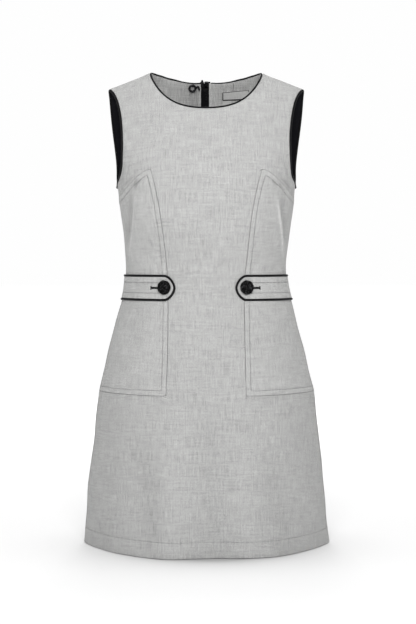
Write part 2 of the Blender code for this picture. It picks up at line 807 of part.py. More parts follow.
def make_neck_facing(name, sheet):
    """Grey facing inside the back neck, from the zip tape to the shoulder seam."""
    cells = np.zeros(sheet.cells.shape, bool)
    cells[-4:, :BACK_NECK_COLUMNS] = True
    clear_of_tape = ZIP["tape_half"] + SEAM_GAP - ZIP_OPENING
    wall(name, sheet, cells, "facing", lift=-CLOTH - SEAM_GAP, thick=FACING, free=clear_of_tape)


def make_armhole_facing(name, sheet, bend, side_column, inward):
    """Black facing inside an armhole. inward is -1 where the columns run out to it."""
    cells = np.zeros(sheet.cells.shape, bool)
    first, last = sorted((bend, bend + 2 * inward))
    cells[sheet.foot:, first:last] = True
    first, last = sorted((side_column, bend + 2 * inward))
    cells[sheet.foot - 1, first:last] = True
    wall(name, sheet, cells & sheet.cells, "black_cloth", lift=-CLOTH - SEAM_GAP, thick=FACING)


# ---------------------------------------------------------------- piping
def edge_points(sheet, corners):
    """Boundary points at the middle of the wall's thickness."""
    return [sheet.points[c] - sheet.normals[c] * CLOTH / 2 for c in corners]


def make_neck_piping(front, backs):
    """From the zip tape round the front and back to it."""
    top = front.points.shape[0] - 1
    low, middle, neck = front.neck, front.middle, FRONT_NECK_COLUMNS
    points = []
    for sign in (-1, 1):
        half = edge_points(front, [(low, middle + sign * j) for j in range(neck)])
        half += edge_points(front, [(i, middle + sign * neck) for i in range(low, top + 1)])
        back = backs[sign]
        last = back.points.shape[0] - 1
        half += edge_points(back, [(last, j) for j in reversed(range(BACK_NECK_COLUMNS))])
        step = half[-2] - half[-1]
        share = (ZIP["tape_half"] + 1.5 * SEAM_GAP - abs(half[-1][0])) / abs(step[0])
        half[-1] = half[-1] + step * share
        points = half[::-1] if sign < 0 else points + half[1:]
    tube("neck_piping", points, PIPING, "piping")


def make_armhole_piping(name, front, back, sign):
    last = front.points.shape[0] - 1
    bend = front.middle + sign * FRONT_BEND_COLUMN
    side = front.middle + sign * (CENTRE_COLUMNS + SIDE_COLUMNS)
    back_last = back.points.shape[0] - 1
    points = edge_points(front, [(i, bend) for i in range(last, front.foot, -1)])
    points += edge_points(front, [(front.foot, j) for j in range(bend, side, sign)])
    points += edge_points(back, [(back.foot, j) for j in range(BACK_COLUMNS, BACK_BEND_COLUMN, -1)])
    points += edge_points(back, [(i, BACK_BEND_COLUMN) for i in range(back.foot, back_last)])
    tube(name, points, PIPING, "piping", cyclic=True)


# ---------------------------------------------------------------- waist tabs
def tab_end(share, inset):
    """How far the rounded end is from the centre front at a share of the half height."""
    reach = TAB["shoulder"] - TAB["tip"] - inset
    power = TAB["point"]
    return TAB["shoulder"] - reach * max(1.0 - abs(share) ** power, 0.0) ** (1.0 / power)


def tab_columns():
    """Places along the straight part of a tab, as turns of the waist's middle row."""
    first = turn_of(TAB["shoulder"] + TAB["end_start"], TAB_MIDDLE)
    return np.linspace(math.pi / 2, first, TAB["columns"] + 1)


def tab_sheet(sign, inset):
    """Grid over the panel, from the side seam to the rounded end."""
    half = TAB_HEIGHT / 2 - inset
    turns = tab_columns()
    last = len(turns) - 1
    points = np.zeros((TAB["rows"] + 1, len(turns) + TAB["end"], 3))
    for i in range(TAB["rows"] + 1):
        share = -math.cos(math.pi * i / TAB["rows"])
        share = 0.5 * share + 0.5 * (2.0 * i / TAB["rows"] - 1.0)
        height = TAB_MIDDLE + half * share
        for j, turn in enumerate(turns):
            points[i, j] = place(sign * turn, height, -1)
        start = abs(points[i, last, 0])
        end = tab_end(share, inset)
        for k in range(1, TAB["end"] + 1):
            x = start + (end - start) * k / TAB["end"]
            points[i, last + k] = place(turn_of(sign * x, height), height, -1)
    sheet = Sheet(points, np.array((0.0, -1.0, 0.0)))
    sheet.free[:, :] = True
    sheet.free[:, 0] = False
    which = np.zeros(sheet.there.shape, bool)
    which[:, 0] = True
    sheet.level_normals(which, 1)
    return sheet


def tab_lift():
    """The tab's outer face above the smooth surface of the body."""
    return PANEL_PROUD + TAB["clear"] + TAB["thick"]


def surface_normal(turn, height, side):
    step = 1e-3
    across = place(turn + step, height, side) - place(turn - step, height, side)
    up = place(turn, height + step, side) - place(turn, height - step, side)
    normal = np.cross(across, up)
    normal = normal / np.linalg.norm(normal)
    return normal if normal[1] * side > 0 else -normal


def make_tab(name, piping_name, sign):
    radius = TAB["piping"] / 2
    sheet = tab_sheet(sign, TAB["piping"] + SEAM_GAP)
    wall(name, sheet, sheet.cells, "weave", lift=tab_lift(), thick=TAB["thick"])

    half = TAB_HEIGHT / 2 - radius
    reach = TAB["shoulder"] - TAB["tip"] - radius
    route = []
    turns = list(tab_columns()[:-1])
    for turn in turns:
        route.append((turn, TAB_MIDDLE + half))
    for angle in np.linspace(math.pi / 2, -math.pi / 2, 17):
        bulge = abs(math.cos(angle)) ** (2.0 / TAB["point"])
        rise = math.copysign(abs(math.sin(angle)) ** (2.0 / TAB["point"]), angle)
        height = TAB_MIDDLE + half * rise
        route.append((turn_of(TAB["shoulder"] - reach * bulge, height), height))
    for turn in reversed(turns):
        route.append((turn, TAB_MIDDLE - half))
    points = []
    lift = tab_lift() - TAB["thick"] / 2 + TAB["piping_lift"]
    for turn, height in route:
        at_side = turn > math.pi / 2 - 1e-6
        turn = sign * min(turn, math.pi / 2 - TAB["side_turn"])
        normal = np.array((float(sign), 0.0, 0.0)) if at_side else surface_normal(turn, height, -1)
        points.append(place(turn, height, -1) + normal * lift)
    tube(piping_name, points, TAB["piping"], "piping")


def make_button(name, sign):
    """A turned button on the outer face of the tab."""
    data = bpy.data.meshes.new(name)
    profile = bmesh.new()
    verts = [profile.verts.new((r * MM, 0.0, z * MM)) for r, z in BUTTON_PROFILE]
    for a, b in zip(verts, verts[1:]):
        profile.edges.new((a, b))
    profile.to_mesh(data)
    profile.free()
    button = add_object(name, data, "button")
    screw = button.modifiers.new("turn", "SCREW")
    screw.steps = BUTTON["turns"]
    screw.render_steps = BUTTON["turns"]
    screw.use_merge_vertices = True
    screw.merge_threshold = 0.00001
    weld = button.modifiers.new("weld", "WELD")
    weld.merge_threshold = 0.00001
    turn, height = find(sign * BUTTON["across"], BUTTON["height"])
    normal = surface_normal(turn, height, -1)
    centre = place(turn, height, -1) + normal * (tab_lift() + BUTTON["clear"])
    button.location = Vector(centre * MM)
    button.rotation_euler = Vector(normal).to_track_quat("Z", "Y").to_euler()
    return button


# ---------------------------------------------------------------- zip
def centre_back_points(sheet, half_widths, low, high=None):
    """Rows across the centre back at the levels of the back's own rows, above `low`."""
    levels = [low] + [level for level in sheet.levels if level > low + ZIP["row_gap"]]
    if high is not None:
        levels = [level for level in levels if level < high - ZIP["row_gap"]] + [high]
    rows = []
    known = np.array(sheet.levels)
    for level in levels:
        below = known[known <= level + 1e-6].max()
        above = known[known >= level - 1e-6].min()
        share = 0.0 if above == below else (level - below) / (above - below)
        row = []
        for x in half_widths:
            ends = [place(turn_of(x if x else 1e-6, edge), edge, 1) for edge in (below, above)]
            row.append(ends[0] + (ends[1] - ends[0]) * share)
        rows.append(row)
    return np.array(rows), levels


def make_zip(sheet):
    """Tape and chain, laid on the back's own rows, between its two halves."""
    neck = sheet.levels[-1]
    slot, wide = ZIP["slot_half"], ZIP["tape_half"]
    low = ZIP_FOOT - ZIP["row_gap"]
    points, levels = centre_back_points(sheet, (-wide, -slot, slot, wide), low)
    split = neck - ZIP["slot"]
    keep = [row for row, level in zip(points, levels) if level < split - ZIP["row_gap"]]
    top = points[-1]
    below = points[-2]
    share = (split - levels[-2]) / (neck - levels[-2])
    keep.append(below + (top - below) * share)
    keep.append(top)
    tape = Sheet(np.array(keep), np.array((0.0, 1.0, 0.0)))
    tape.free[:, :] = True
    cells = tape.cells.copy()
    cells[-1, 1] = False
    wall("zip_tape", tape, cells, "zip_tape", lift=-CLOTH - SEAM_GAP, thick=ZIP["tape"])

    half = ZIP["chain_half"]
    rows, _ = centre_back_points(sheet, (-half, half), ZIP_END + 2.0, split - SEAM_GAP)
    chain = Sheet(rows, np.array((0.0, 1.0, 0.0)))
    chain.free[:, :] = True
    lift = ZIP["chain"] - CLOTH
    wall("zip_chain", chain, chain.cells, "zip_metal", lift=lift, thick=ZIP["chain"])


def slider_frame(sheet):
    """Slider axes: across, down along the back, outward, with its top on the zip's line."""
    neck = sheet.levels[-1]
    top = place(1e-6, neck - SLIDER["below_neck"], 1)
    low = place(1e-6, neck - SLIDER["below_neck"] - SLIDER["length"], 1)
    down = Vector(low - top).normalized()
    across = Vector((1.0, 0.0, 0.0))
    outward = down.cross(across)
    if outward.y < 0:
        outward = -outward
    frame = Matrix((across, down, outward)).transposed().to_4x4()
    if frame.determinant() < 0:
        frame = Matrix((-across, down, outward)).transposed().to_4x4()
    frame.translation = Vector(top * MM)
    return frame


def make_slider(sheet):
    """Slider body with the arch that holds the pull."""
    frame = slider_frame(sheet)
    deep = SLIDER["inside"] + SLIDER["outside"]
    bpy.ops.mesh.primitive_cube_add(size=1.0)
    slider = bpy.context.object
    slider.name = "zip_slider"
    data = slider.data
    data.transform(Matrix.Diagonal((2 * SLIDER["half"] * MM, SLIDER["length"] * MM, deep * MM, 1)))
    middle = (SLIDER["outside"] - SLIDER["inside"]) / 2
    data.transform(Matrix.Translation((0.0, SLIDER["length"] / 2 * MM, middle * MM)))
    for collection in list(slider.users_collection):
        collection.objects.unlink(slider)
    bpy.data.objects.remove(slider)
    slider = add_object("zip_slider", data, "zip_metal")
    slider.matrix_world = frame

    inner, outer = SLIDER["arch_inner"], SLIDER["arch_outer"]
    foot = -inner - SLIDER["arch_sunk"]
    loop = [(outer, foot)]
    loop += [(outer * math.cos(a), outer * math.sin(a)) for a in np.linspace(0, math.pi, 13)]
    loop += [(-outer, foot), (-inner, foot)]
    loop += [(-inner * math.cos(a), inner * math.sin(a)) for a in np.linspace(0, math.pi, 9)]
    loop += [(inner, foot)]
    arch_data = curve_to_mesh(outline("arch", [loop], SLIDER["arch_half"]), "slider_arch")
    arch = add_object("slider_arch", arch_data, None, "cutters")
    arch.display_type = "WIRE"
    arch.hide_render = True
    along = Vector(frame.col[1][:3])
    outward = Vector(frame.col[2][:3])
    axis = Vector(frame.col[0][:3])
    stand = Matrix((along, outward, axis)).transposed().to_4x4()
    if stand.determinant() < 0:
        stand = Matrix((along, outward, -axis)).transposed().to_4x4()
    stand.translation = hinge_point(frame)
    arch.matrix_world = stand

    bevel = slider.modifiers.new("round", "BEVEL")
    bevel.width = SLIDER["rounding"] * MM
    bevel.segments = 2
    join = slider.modifiers.new("arch", "BOOLEAN")
    join.operation = "UNION"
    join.solver = "EXACT"
    join.object = arch
    return frame


def hinge_point(frame):
    """Middle of the pull's bar, under the arch."""
    rise = SLIDER["outside"] + SLIDER["arch_inner"]
    return frame @ Vector((0.0, SLIDER["length"] / 2 * MM, rise * MM))


def make_pull(frame):
    """The pull lies down the back, on the axis of its bar, which runs along X."""
    half, bar, corner = PULL["half"], PULL["bar"], PULL["corner"]
    end = PULL["length"]
    loop = []
    for x, y, start in (
        (half - corner, end - corner, 0.0),
        (-half + corner, end - corner, 90.0),
        (-half + corner, -bar + corner, 180.0),
        (half - corner, -bar + corner, 270.0),
    ):
        for turn in np.linspace(start, start + 90.0, 5):
            angle = math.radians(turn)
            loop.append((x + corner * math.cos(angle), y + corner * math.sin(angle)))
    inner = PULL["window_half"]
    window = [(inner, bar), (-inner, bar), (-inner, PULL["window"]), (inner, PULL["window"])]
    data = curve_to_mesh(outline("pull", [loop, window], PULL["thick"] / 2), "zip_pull")
    pull = add_object("zip_pull", data, "zip_metal")
    stand = frame.copy()
    stand.translation = hinge_point(frame)
    pull.matrix_world = stand


# ---------------------------------------------------------------- inside the back neck
def inside_patch(name, sizes, depth, finish):
    """A flat label made from the back's own surface, moved in."""
    columns = np.linspace(sizes["from"], sizes["to"], 7)
    rows = np.linspace(sizes["bottom"], sizes["top"], 4)
    points = np.array([[place(*find(x, z), 1) for x in columns] for z in rows])
    sheet = Sheet(points, np.array((0.0, 1.0, 0.0)))
    sheet.free[:, :] = True
    wall(name, sheet, sheet.cells, finish, lift=-depth, thick=sizes["thick"])


def make_neck_details():
    facing_face = CLOTH + SEAM_GAP + FACING
    depth = facing_face + LABEL["clear"]
    inside_patch("label", LABEL, depth, "label")
    inside_patch("care_label", CARE_LABEL, depth, "label")

    turn, height = find(NECK_RING["across"], NECK_RING["height"])
    normal = Vector(surface_normal(turn, height, 1))
    inset = facing_face + NECK_RING["clear"] + NECK_RING["wire"]
    centre = Vector(place(turn, height, 1)) - normal * inset
    bpy.ops.mesh.primitive_torus_add(
        major_segments=28, minor_segments=8,
        major_radius=NECK_RING["radius"] * MM, minor_radius=NECK_RING["wire"] * MM,
    )
    made = bpy.context.object
    data = made.data
    bpy.data.objects.remove(made)
    ring = add_object("neck_ring", data, "piping")
    ring.location = centre * MM
    ring.rotation_euler = normal.to_track_quat("Z", "Y").to_euler()

    start = NECK_RING["radius"] + NECK_RING["wire"] + NECK_HOOK["wire"] / 2 + SEAM_GAP
    across = Vector((1.0, 0.0, 0.0))
    across = (across - normal * across.dot(normal)).normalized()
    down = across.cross(normal)
    down = down if down.z < 0 else -down
    points = [centre + across * (start + x) + down * y for x, y in NECK_HOOK_BENDS]
    tube("neck_hook", points, NECK_HOOK["wire"], "piping")


# ---------------------------------------------------------------- the dress
def clear_scene():
    for thing in list(bpy.data.objects):
        bpy.data.objects.remove(thing, do_unlink=True)
    for name in ("shift_dress", "cutters"):
        collection = bpy.data.collections.new(name)
        bpy.context.scene.collection.children.link(collection)


def main():
    clear_scene()
    front = front_sheet()
    backs = {sign: back_sheet(sign) for sign in (-1, 1)}
    make_front(front)
    make_neck_piping(front, backs)
    for side, sign in (("left", -1), ("right", 1)):
        back = backs[sign]
        make_back("back_" + side, back)
        make_neck_facing("back_facing_" + side, back)
        bend = front.middle + sign * FRONT_BEND_COLUMN
        edge = front.middle + sign * (CENTRE_COLUMNS + SIDE_COLUMNS)
        make_armhole_facing("armhole_facing_front_" + side, front, bend, edge, -sign)
        make_armhole_facing("armhole_facing_back_" + side, back, BACK_BEND_COLUMN, BACK_COLUMNS, -1)
        make_armhole_piping("armhole_piping_" + side, front, back, sign)
        make_tab("tab_" + side, "tab_piping_" + side, sign)
        make_button("button_" + side, sign)
    make_zip(backs[1])
    make_pull(make_slider(backs[1]))
    make_neck_details()


main()
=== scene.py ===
import itertools
import math

import bmesh
import bpy
import numpy as np
from mathutils import Matrix, Vector
from mathutils.bvhtree import BVHTree


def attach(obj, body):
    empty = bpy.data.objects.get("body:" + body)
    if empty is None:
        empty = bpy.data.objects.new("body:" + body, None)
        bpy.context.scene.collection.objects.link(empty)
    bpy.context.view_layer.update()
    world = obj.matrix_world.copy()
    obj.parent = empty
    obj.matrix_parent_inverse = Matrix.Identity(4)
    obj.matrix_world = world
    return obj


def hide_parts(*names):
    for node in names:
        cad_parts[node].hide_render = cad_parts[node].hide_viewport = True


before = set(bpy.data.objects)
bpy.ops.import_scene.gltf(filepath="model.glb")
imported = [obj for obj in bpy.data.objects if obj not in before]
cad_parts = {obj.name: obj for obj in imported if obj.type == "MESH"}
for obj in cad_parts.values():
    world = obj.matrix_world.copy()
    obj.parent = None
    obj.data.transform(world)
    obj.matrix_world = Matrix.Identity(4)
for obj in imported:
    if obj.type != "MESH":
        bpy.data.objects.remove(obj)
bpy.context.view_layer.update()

# A grey woven shift dress. Metres, +Z up, front towards -Y, left at -X.
mm = 0.001
scene = bpy.context.scene
sheets = {}              # pattern data of each cloth piece, kept for the sewing


# -- short ways to do what every piece needs

def deselectAll():
    if bpy.context.object and bpy.context.object.mode != "OBJECT":
        bpy.ops.object.mode_set(mode="OBJECT")
    bpy.ops.object.select_all(action="DESELECT")


def makeActive(piece, *others):
    deselectAll()
    for each in (piece, *others):
        each.select_set(True)
    bpy.context.view_layer.objects.active = piece


def editAll(piece):
    makeActive(piece)
    bpy.ops.object.mode_set(mode="EDIT")
    bpy.ops.mesh.select_all(action="SELECT")


def leaveEdit():
    bpy.ops.object.mode_set(mode="OBJECT")


def addModifier(piece, kind, **settings):
    modifier = piece.modifiers.new(kind.lower(), kind)
    for name, value in settings.items():
        setattr(modifier, name, value)
    makeActive(piece)
    bpy.ops.object.modifier_apply(modifier=modifier.name)


def subdivide(piece, levels, boundary="ALL"):
    addModifier(piece, "SUBSURF", levels=levels, render_levels=levels, boundary_smooth=boundary)


def addObject(name, data):
    piece = bpy.data.objects.new(name, data)
    scene.collection.objects.link(piece)
    return piece


def readRows(source, key, width):
    # one property of every point or corner, as the rows of an array
    flat = np.empty(len(source) * width)
    source.foreach_get(key, flat)
    return flat.reshape(-1, width)


def spell(item, side):
    # puts a side in place of each star, as in side_panel_left and sidePanelLeft
    if isinstance(item, tuple):
        return tuple(spell(part, side) for part in item)
    if isinstance(item, str):
        return item.replace("_*", "_" + side).replace("*", side.capitalize())
    return item


def bothSides(rows):
    # a row whose name has a star is taken once for the left and once for the right
    for row in rows:
        if "*" in row[0]:
            yield spell(row, "left")
            yield spell(row, "right")
        else:
            yield row


def feed(tree, node, inputs):
    # links an input to a socket, or sets it to a value
    for name, value in inputs.items():
        if isinstance(value, bpy.types.NodeSocket):
            tree.links.new(value, node.inputs[name])
        elif value is not None:
            node.inputs[name].default_value = value


def addNode(tree, kind, inputs=None, **settings):
    node = tree.nodes.new(kind)
    node.location = (190 * len(tree.nodes), 0)
    for name, value in settings.items():
        setattr(node, name, value)
    feed(tree, node, inputs or {})
    return node


def chain(tree, value, *steps):
    # a row of Math nodes, each of which works on the one before
    for operation, other in steps:
        value = addNode(tree, "ShaderNodeMath", {0: value, 1: other}, operation=operation).outputs[0]
    return value


def vectorMath(tree, operation, **inputs):
    places = {"a": 0, "b": 1, "c": 2, "scale": "Scale"}
    node = addNode(tree, "ShaderNodeVectorMath", operation=operation)
    feed(tree, node, {places[name]: value for name, value in inputs.items()})
    return node.outputs["Value" if operation in ("DISTANCE", "LENGTH") else "Vector"]


def softRamp(tree, value, start, end, low=0.0, high=1.0):
    ends = {"Value": value, "From Min": start, "From Max": end, "To Min": low, "To Max": high}
    return addNode(tree, "ShaderNodeMapRange", ends, interpolation_type="SMOOTHSTEP").outputs[0]


def noise(tree, place, scale, detail, roughness=0.5):
    looks = {"Vector": place, "Scale": scale, "Detail": detail, "Roughness": roughness}
    return addNode(tree, "ShaderNodeTexNoise", looks).outputs["Fac"]


def newMaterial(name):
    material = bpy.data.materials.new(name)
    material.use_nodes = True
    return material, material.node_tree, material.node_tree.nodes["Principled BSDF"]


# -- camera, light and floor

cameraPlan = {"at": (0.003, -2.4, -0.33), "down": 2.02, "lens": 77.0, "height": 36.0, "far": 60.0}
lightPlan = {
    "key": {"at": (0.0, -1.7, 0.27), "aim": (0.0, 0.0, -0.3), "size": 0.9, "watts": 23.0},
    "top": {"at": (0.0, 0.12, 1.5), "aim": (0.0, 0.0, -0.2), "size": 0.5, "watts": 9.5},
    "back": {"at": (0.0, 2.4, 0.35), "aim": (0.0, 0.0, -0.3), "size": 1.4, "watts": 20.0},
}
worldPlan = {"sky": 0.60, "backdrop": 0.992}      # strength as light, and as the camera sees it
floorPlan = {
    "height": -0.8314, "size": 60.0, "colour": 0.8, "roughness": 0.9, "specular": 0.1,
    # the floor's own glow levels out the pool of light that the key leaves on it
    "glow": 0.497, "pool": 0.47, "centre": (0.0, -0.8, 0.0), "reach": 2.3,
    # behind the key there is no pool, and behind the back light a little more glow
    "keyEdge": (-1.55, -2.15), "backEdge": (1.9, 2.75), "extra": 0.035,
    # painted contact shadow: the floor's colour darkens close to the hem, outside an ellipse of these half
    # widths
    "foot": (0.160, 0.152), "footMiddle": 0.004, "shade": 0.52, "spread": 0.175,
}

tilt = (math.radians(90.0 - cameraPlan["down"]), 0.0, 0.0)
bpy.ops.object.camera_add(location=cameraPlan["at"], rotation=tilt)
camera = bpy.context.object
camera.name = "camera"
camera.data.lens = cameraPlan["lens"]
camera.data.sensor_fit = "VERTICAL"
camera.data.sensor_height = cameraPlan["height"]
camera.data.clip_end = cameraPlan["far"]
scene.camera = camera
scene.view_settings.view_transform = "Standard"

for lightName, plan in lightPlan.items():
    bpy.ops.object.light_add(type="AREA", location=plan["at"])
    light = bpy.context.object
    light.name = lightName
    light.data.shape = "DISK"
    light.data.size = plan["size"]
    light.data.energy = plan["watts"]
    aim = Vector(plan["aim"]) - light.location
    light.rotation_euler = aim.to_track_quat("-Z", "Y").to_euler()

world = bpy.data.worlds.new("studio")
world.use_nodes = True
scene.world = world
tree = world.node_tree
tree.nodes.clear()
white = (1.0, 1.0, 1.0, 1.0)
skyLight = addNode(tree, "ShaderNodeBackground", {"Color": white, "Strength": worldPlan["sky"]})
backdrop = addNode(tree, "ShaderNodeBackground", {"Color": white, "Strength": worldPlan["backdrop"]})
seen = addNode(tree, "ShaderNodeLightPath").outputs["Is Camera Ray"]
chooser = addNode(tree, "ShaderNodeMixShader", {"Fac": seen, 1: skyLight.outputs[0], 2: backdrop.outputs[0]})
addNode(tree, "ShaderNodeOutputWorld", {"Surface": chooser.outputs[0]})

deselectAll()
bpy.ops.mesh.primitive_plane_add(size=floorPlan["size"], location=(0.0, 0.0, floorPlan["height"]))
floor = bpy.context.object
floor.name = "floor"
floorPaint, tree, shader = newMaterial("floorPaint")
place = addNode(tree, "ShaderNodeTexCoord").outputs["Object"]
depth = addNode(tree, "ShaderNodeSeparateXYZ", {0: place}).outputs["Y"]
pool = softRamp(tree, depth, *floorPlan["keyEdge"], -floorPlan["pool"], 0.0)
extra = softRamp(tree, depth, *floorPlan["backEdge"], 0.0, floorPlan["extra"])
glow = chain(
    tree, vectorMath(tree, "DISTANCE", a=place, b=floorPlan["centre"]),
    ("DIVIDE", floorPlan["reach"]), ("POWER", 2.0), ("MULTIPLY", -1.0), ("EXPONENT", None),
    ("MULTIPLY", pool), ("ADD", extra), ("ADD", floorPlan["glow"]))
wide, deep = (1.0 / half for half in floorPlan["foot"])
middle = (-floorPlan["footMiddle"] * wide, 0.0, 0.0)
foot = vectorMath(tree, "MULTIPLY_ADD", a=place, b=(wide, deep, 0.0), c=middle)
# painted contact shadow round the hem, darkening the floor's base colour
shade = chain(
    tree, vectorMath(tree, "LENGTH", a=foot),
    ("SUBTRACT", 1.0), ("MAXIMUM", 0.0), ("DIVIDE", -floorPlan["spread"]), ("EXPONENT", None),
    ("MULTIPLY", -floorPlan["shade"]), ("ADD", 1.0), ("MULTIPLY", floorPlan["colour"]))
feed(tree, shader, {
    "Base Color": shade, "Emission Color": glow, "Emission Strength": 1.0,
    "Roughness": floorPlan["roughness"], "Specular IOR Level": floorPlan["specular"]})
floor.data.materials.append(floorPaint)
print("studio ready")


# -- materials

def newGroup(name, outputs, **inputs):
    # an input's kind follows from its value, and None stands for a vector
    group = bpy.data.node_groups.new(name, "ShaderNodeTree")
    for socketName, value in inputs.items():
        kind = "Vector" if value is None else "Color" if isinstance(value, tuple) else "Float"
        socket = group.interface.new_socket(socketName, in_out="INPUT", socket_type="NodeSocket" + kind)
        if value is not None:
            socket.default_value = value
    for socketName in outputs:
        kind = "Color" if socketName == "Color" else "Float"
        group.interface.new_socket(socketName, in_out="OUTPUT", socket_type="NodeSocket" + kind)
    return group, group.nodes.new("NodeGroupInput").outputs, group.nodes.new("NodeGroupOutput")


def useGroup(tree, group, **inputs):
    return addNode(tree, "ShaderNodeGroup", inputs, node_tree=group).outputs


def mixNode(tree, kind, share, a, b):
    return addNode(tree, "ShaderNodeMix", {"Factor": share, "A": a, "B": b}, data_type=kind).outputs["Result"]


def makeThreadGroup():
    # plain weave: warp over weft in turn, with rounded threads. The vector is in metres.
    group, into, out = newGroup(
        "threads", ("Color", "Height"),
        Vector=None, Pitch=0.001, Warp=(0.8, 0.8, 0.8, 1), Weft=(0.2, 0.2, 0.2, 1), Uneven=0.3)
    drift = chain(group, noise(group, into["Vector"], 55.0, 2.0), ("MULTIPLY", into["Uneven"]))
    split = addNode(group, "ShaderNodeSeparateXYZ", {0: into["Vector"]}).outputs
    along = [chain(group, split[k], ("DIVIDE", into["Pitch"]), ("ADD", drift)) for k in (0, 1)]
    rounding = (("MULTIPLY", math.pi), ("SINE", None), ("ABSOLUTE", None))
    heights = [chain(group, place, *rounding) for place in along]
    cells = [chain(group, place, ("FLOOR", None)) for place in along]
    turn = chain(group, cells[0], ("ADD", cells[1]), ("PINGPONG", 1.0))
    feed(group, out, {
        "Color": mixNode(group, "RGBA", turn, into["Warp"], into["Weft"]),
        "Height": mixNode(group, "FLOAT", turn, *heights)})
    return group


def makeSlubGroup():
    # thick and thin places along both sets of threads, from 0 to 1 about one half
    group, into, out = newGroup("slubs", ("Value",), Vector=None, Across=450.0, Along=28.0)
    values = []
    for x, y, shift, share in (("Across", "Along", 0.0, 0.60), ("Along", "Across", 7.3, 0.40)):
        scale = addNode(group, "ShaderNodeCombineXYZ", {"X": into[x], "Y": into[y]}).outputs[0]
        place = vectorMath(group, "MULTIPLY_ADD", a=into["Vector"], b=scale, c=(shift, shift, shift))
        values.append(chain(group, noise(group, place, 1.0, 1.5), ("MULTIPLY", share)))
    feed(group, out, {"Value": chain(group, values[0], ("ADD", values[1]))})
    return group


def makeMottleGroup():
    # large, faint blotches, lighter and darker at random, as a factor about one
    group, into, out = newGroup("mottle", ("Factor",), Vector=None, Scale=14.0, Depth=0.06)
    blotches = noise(group, into["Vector"], into["Scale"], 4.0, 0.55)
    factor = chain(group, blotches, ("SUBTRACT", 0.5), ("MULTIPLY", into["Depth"]), ("ADD", 1.0))
    feed(group, out, {"Factor": factor})
    return group


# the last two values are painted shade, at a seam's edge and in a stitch groove
rowLook = {"band": (-0.0014, 0.0016), "seam": (-0.0089, -0.0079), "paintedSeamShade": -0.40, "paintedGrooveShade": -0.06}


def makeRowGroup():
    # the doubled cloth beside a seam and the groove that a row of stitches pulls into it, as height and as
    # tone: a painted highlight on the doubled band, painted shade at the seam's edge and in the groove
    group, into, out = newGroup("stitchedRow", ("Height", "Tone"), Away=0.05, Groove=0.0009, Light=0.02)
    band = softRamp(group, into["Away"], *rowLook["band"], 1.0, 0.0)
    seam = softRamp(group, into["Away"], *rowLook["seam"], rowLook["paintedSeamShade"], 0.0)
    share = chain(group, into["Away"], ("DIVIDE", into["Groove"]))
    groove = chain(group, 1.0, ("DIVIDE", chain(group, share, ("MULTIPLY", share), ("ADD", 1.0))))
    light = chain(group, band, ("MULTIPLY", into["Light"]))
    dark = chain(group, groove, ("MULTIPLY", rowLook["paintedGrooveShade"]))
    feed(group, out, {
        "Height": chain(group, band, ("SUBTRACT", groove)),
        "Tone": chain(group, dark, ("ADD", light), ("ADD", seam), ("ADD", 1.0))})
    return group


def makeWearAndGlintGroup():
    # worn patches and fine grain in object space; on the leather the patches are painted glints
    group, into, out = newGroup("wearAndGlintGrain", ("WearAndGlint", "Grain"), Vector=None, Patch=300.0, Grain=2000.0)
    grain = addNode(group, "ShaderNodeTexVoronoi", {"Vector": into["Vector"], "Scale": into["Grain"]})
    wearAndGlint = softRamp(group, noise(group, into["Vector"], into["Patch"], 5.0), 0.35, 0.68)
    feed(group, out, {"WearAndGlint": wearAndGlint, "Grain": grain.outputs["Distance"]})
    return group


threadGroup = makeThreadGroup()
slubGroup = makeSlubGroup()
mottleGroup = makeMottleGroup()
rowGroup = makeRowGroup()
wearAndGlintGroup = makeWearAndGlintGroup()

anyCloth = {
    # what a finish doesn't say otherwise. Rows is the painted highlight on the doubled cloth beside a row of
    # stitches.
    "pitch": 0.0009, "uneven": 0.3, "slub": 1.2, "across": 500.0, "along": 40.0, "mottle": 0.3, "rows": 0.0,
    "roughness": 0.85, "sheen": 0.0, "bump": 0.2, "specular": 0.25,
}
clothFinishes = {
    "weave": {
        "warp": (0.509, 0.509, 0.500), "weft": (0.205, 0.205, 0.205), "pitch": 0.0011, "uneven": 0.5,
        "slub": 1.05, "across": 520.0, "mottle": 0.08, "rows": 0.02, "sheen": 0.12, "bump": 0.25,
    },
    "facing": {
        "warp": (0.48, 0.48, 0.472), "weft": (0.29, 0.29, 0.286), "uneven": 0.4,
        "slub": 1.6, "across": 520.0, "mottle": 0.14, "rows": 0.12, "sheen": 0.1,
    },
    "blackCloth": {
        "warp": (0.0095, 0.0095, 0.0125), "weft": (0.0055, 0.0055, 0.0070), "pitch": 0.0008,
        "roughness": 0.8, "specular": 0.10,
    },
    "piping": {
        "warp": (0.0040, 0.0040, 0.0048), "weft": (0.0022, 0.0022, 0.0026), "pitch": 0.0006, "uneven": 0.2,
        "slub": 0.8, "across": 300.0, "along": 60.0, "roughness": 0.6, "bump": 0.3, "specular": 0.14,
    },
    "zipTape": {
        "warp": (0.0045, 0.0045, 0.0052), "weft": (0.0018, 0.0018, 0.0022), "uneven": 0.1,
        "slub": 0.4, "across": 600.0, "along": 30.0, "mottle": 0.2, "roughness": 0.8, "bump": 0.5,
        "specular": 0.10,
    },
    "label": {
        "warp": (0.50, 0.50, 0.49), "weft": (0.42, 0.42, 0.415), "pitch": 0.0005, "uneven": 0.1,
        "slub": 0.6, "along": 60.0, "mottle": 0.10, "roughness": 0.55, "sheen": 0.1,
    },
}


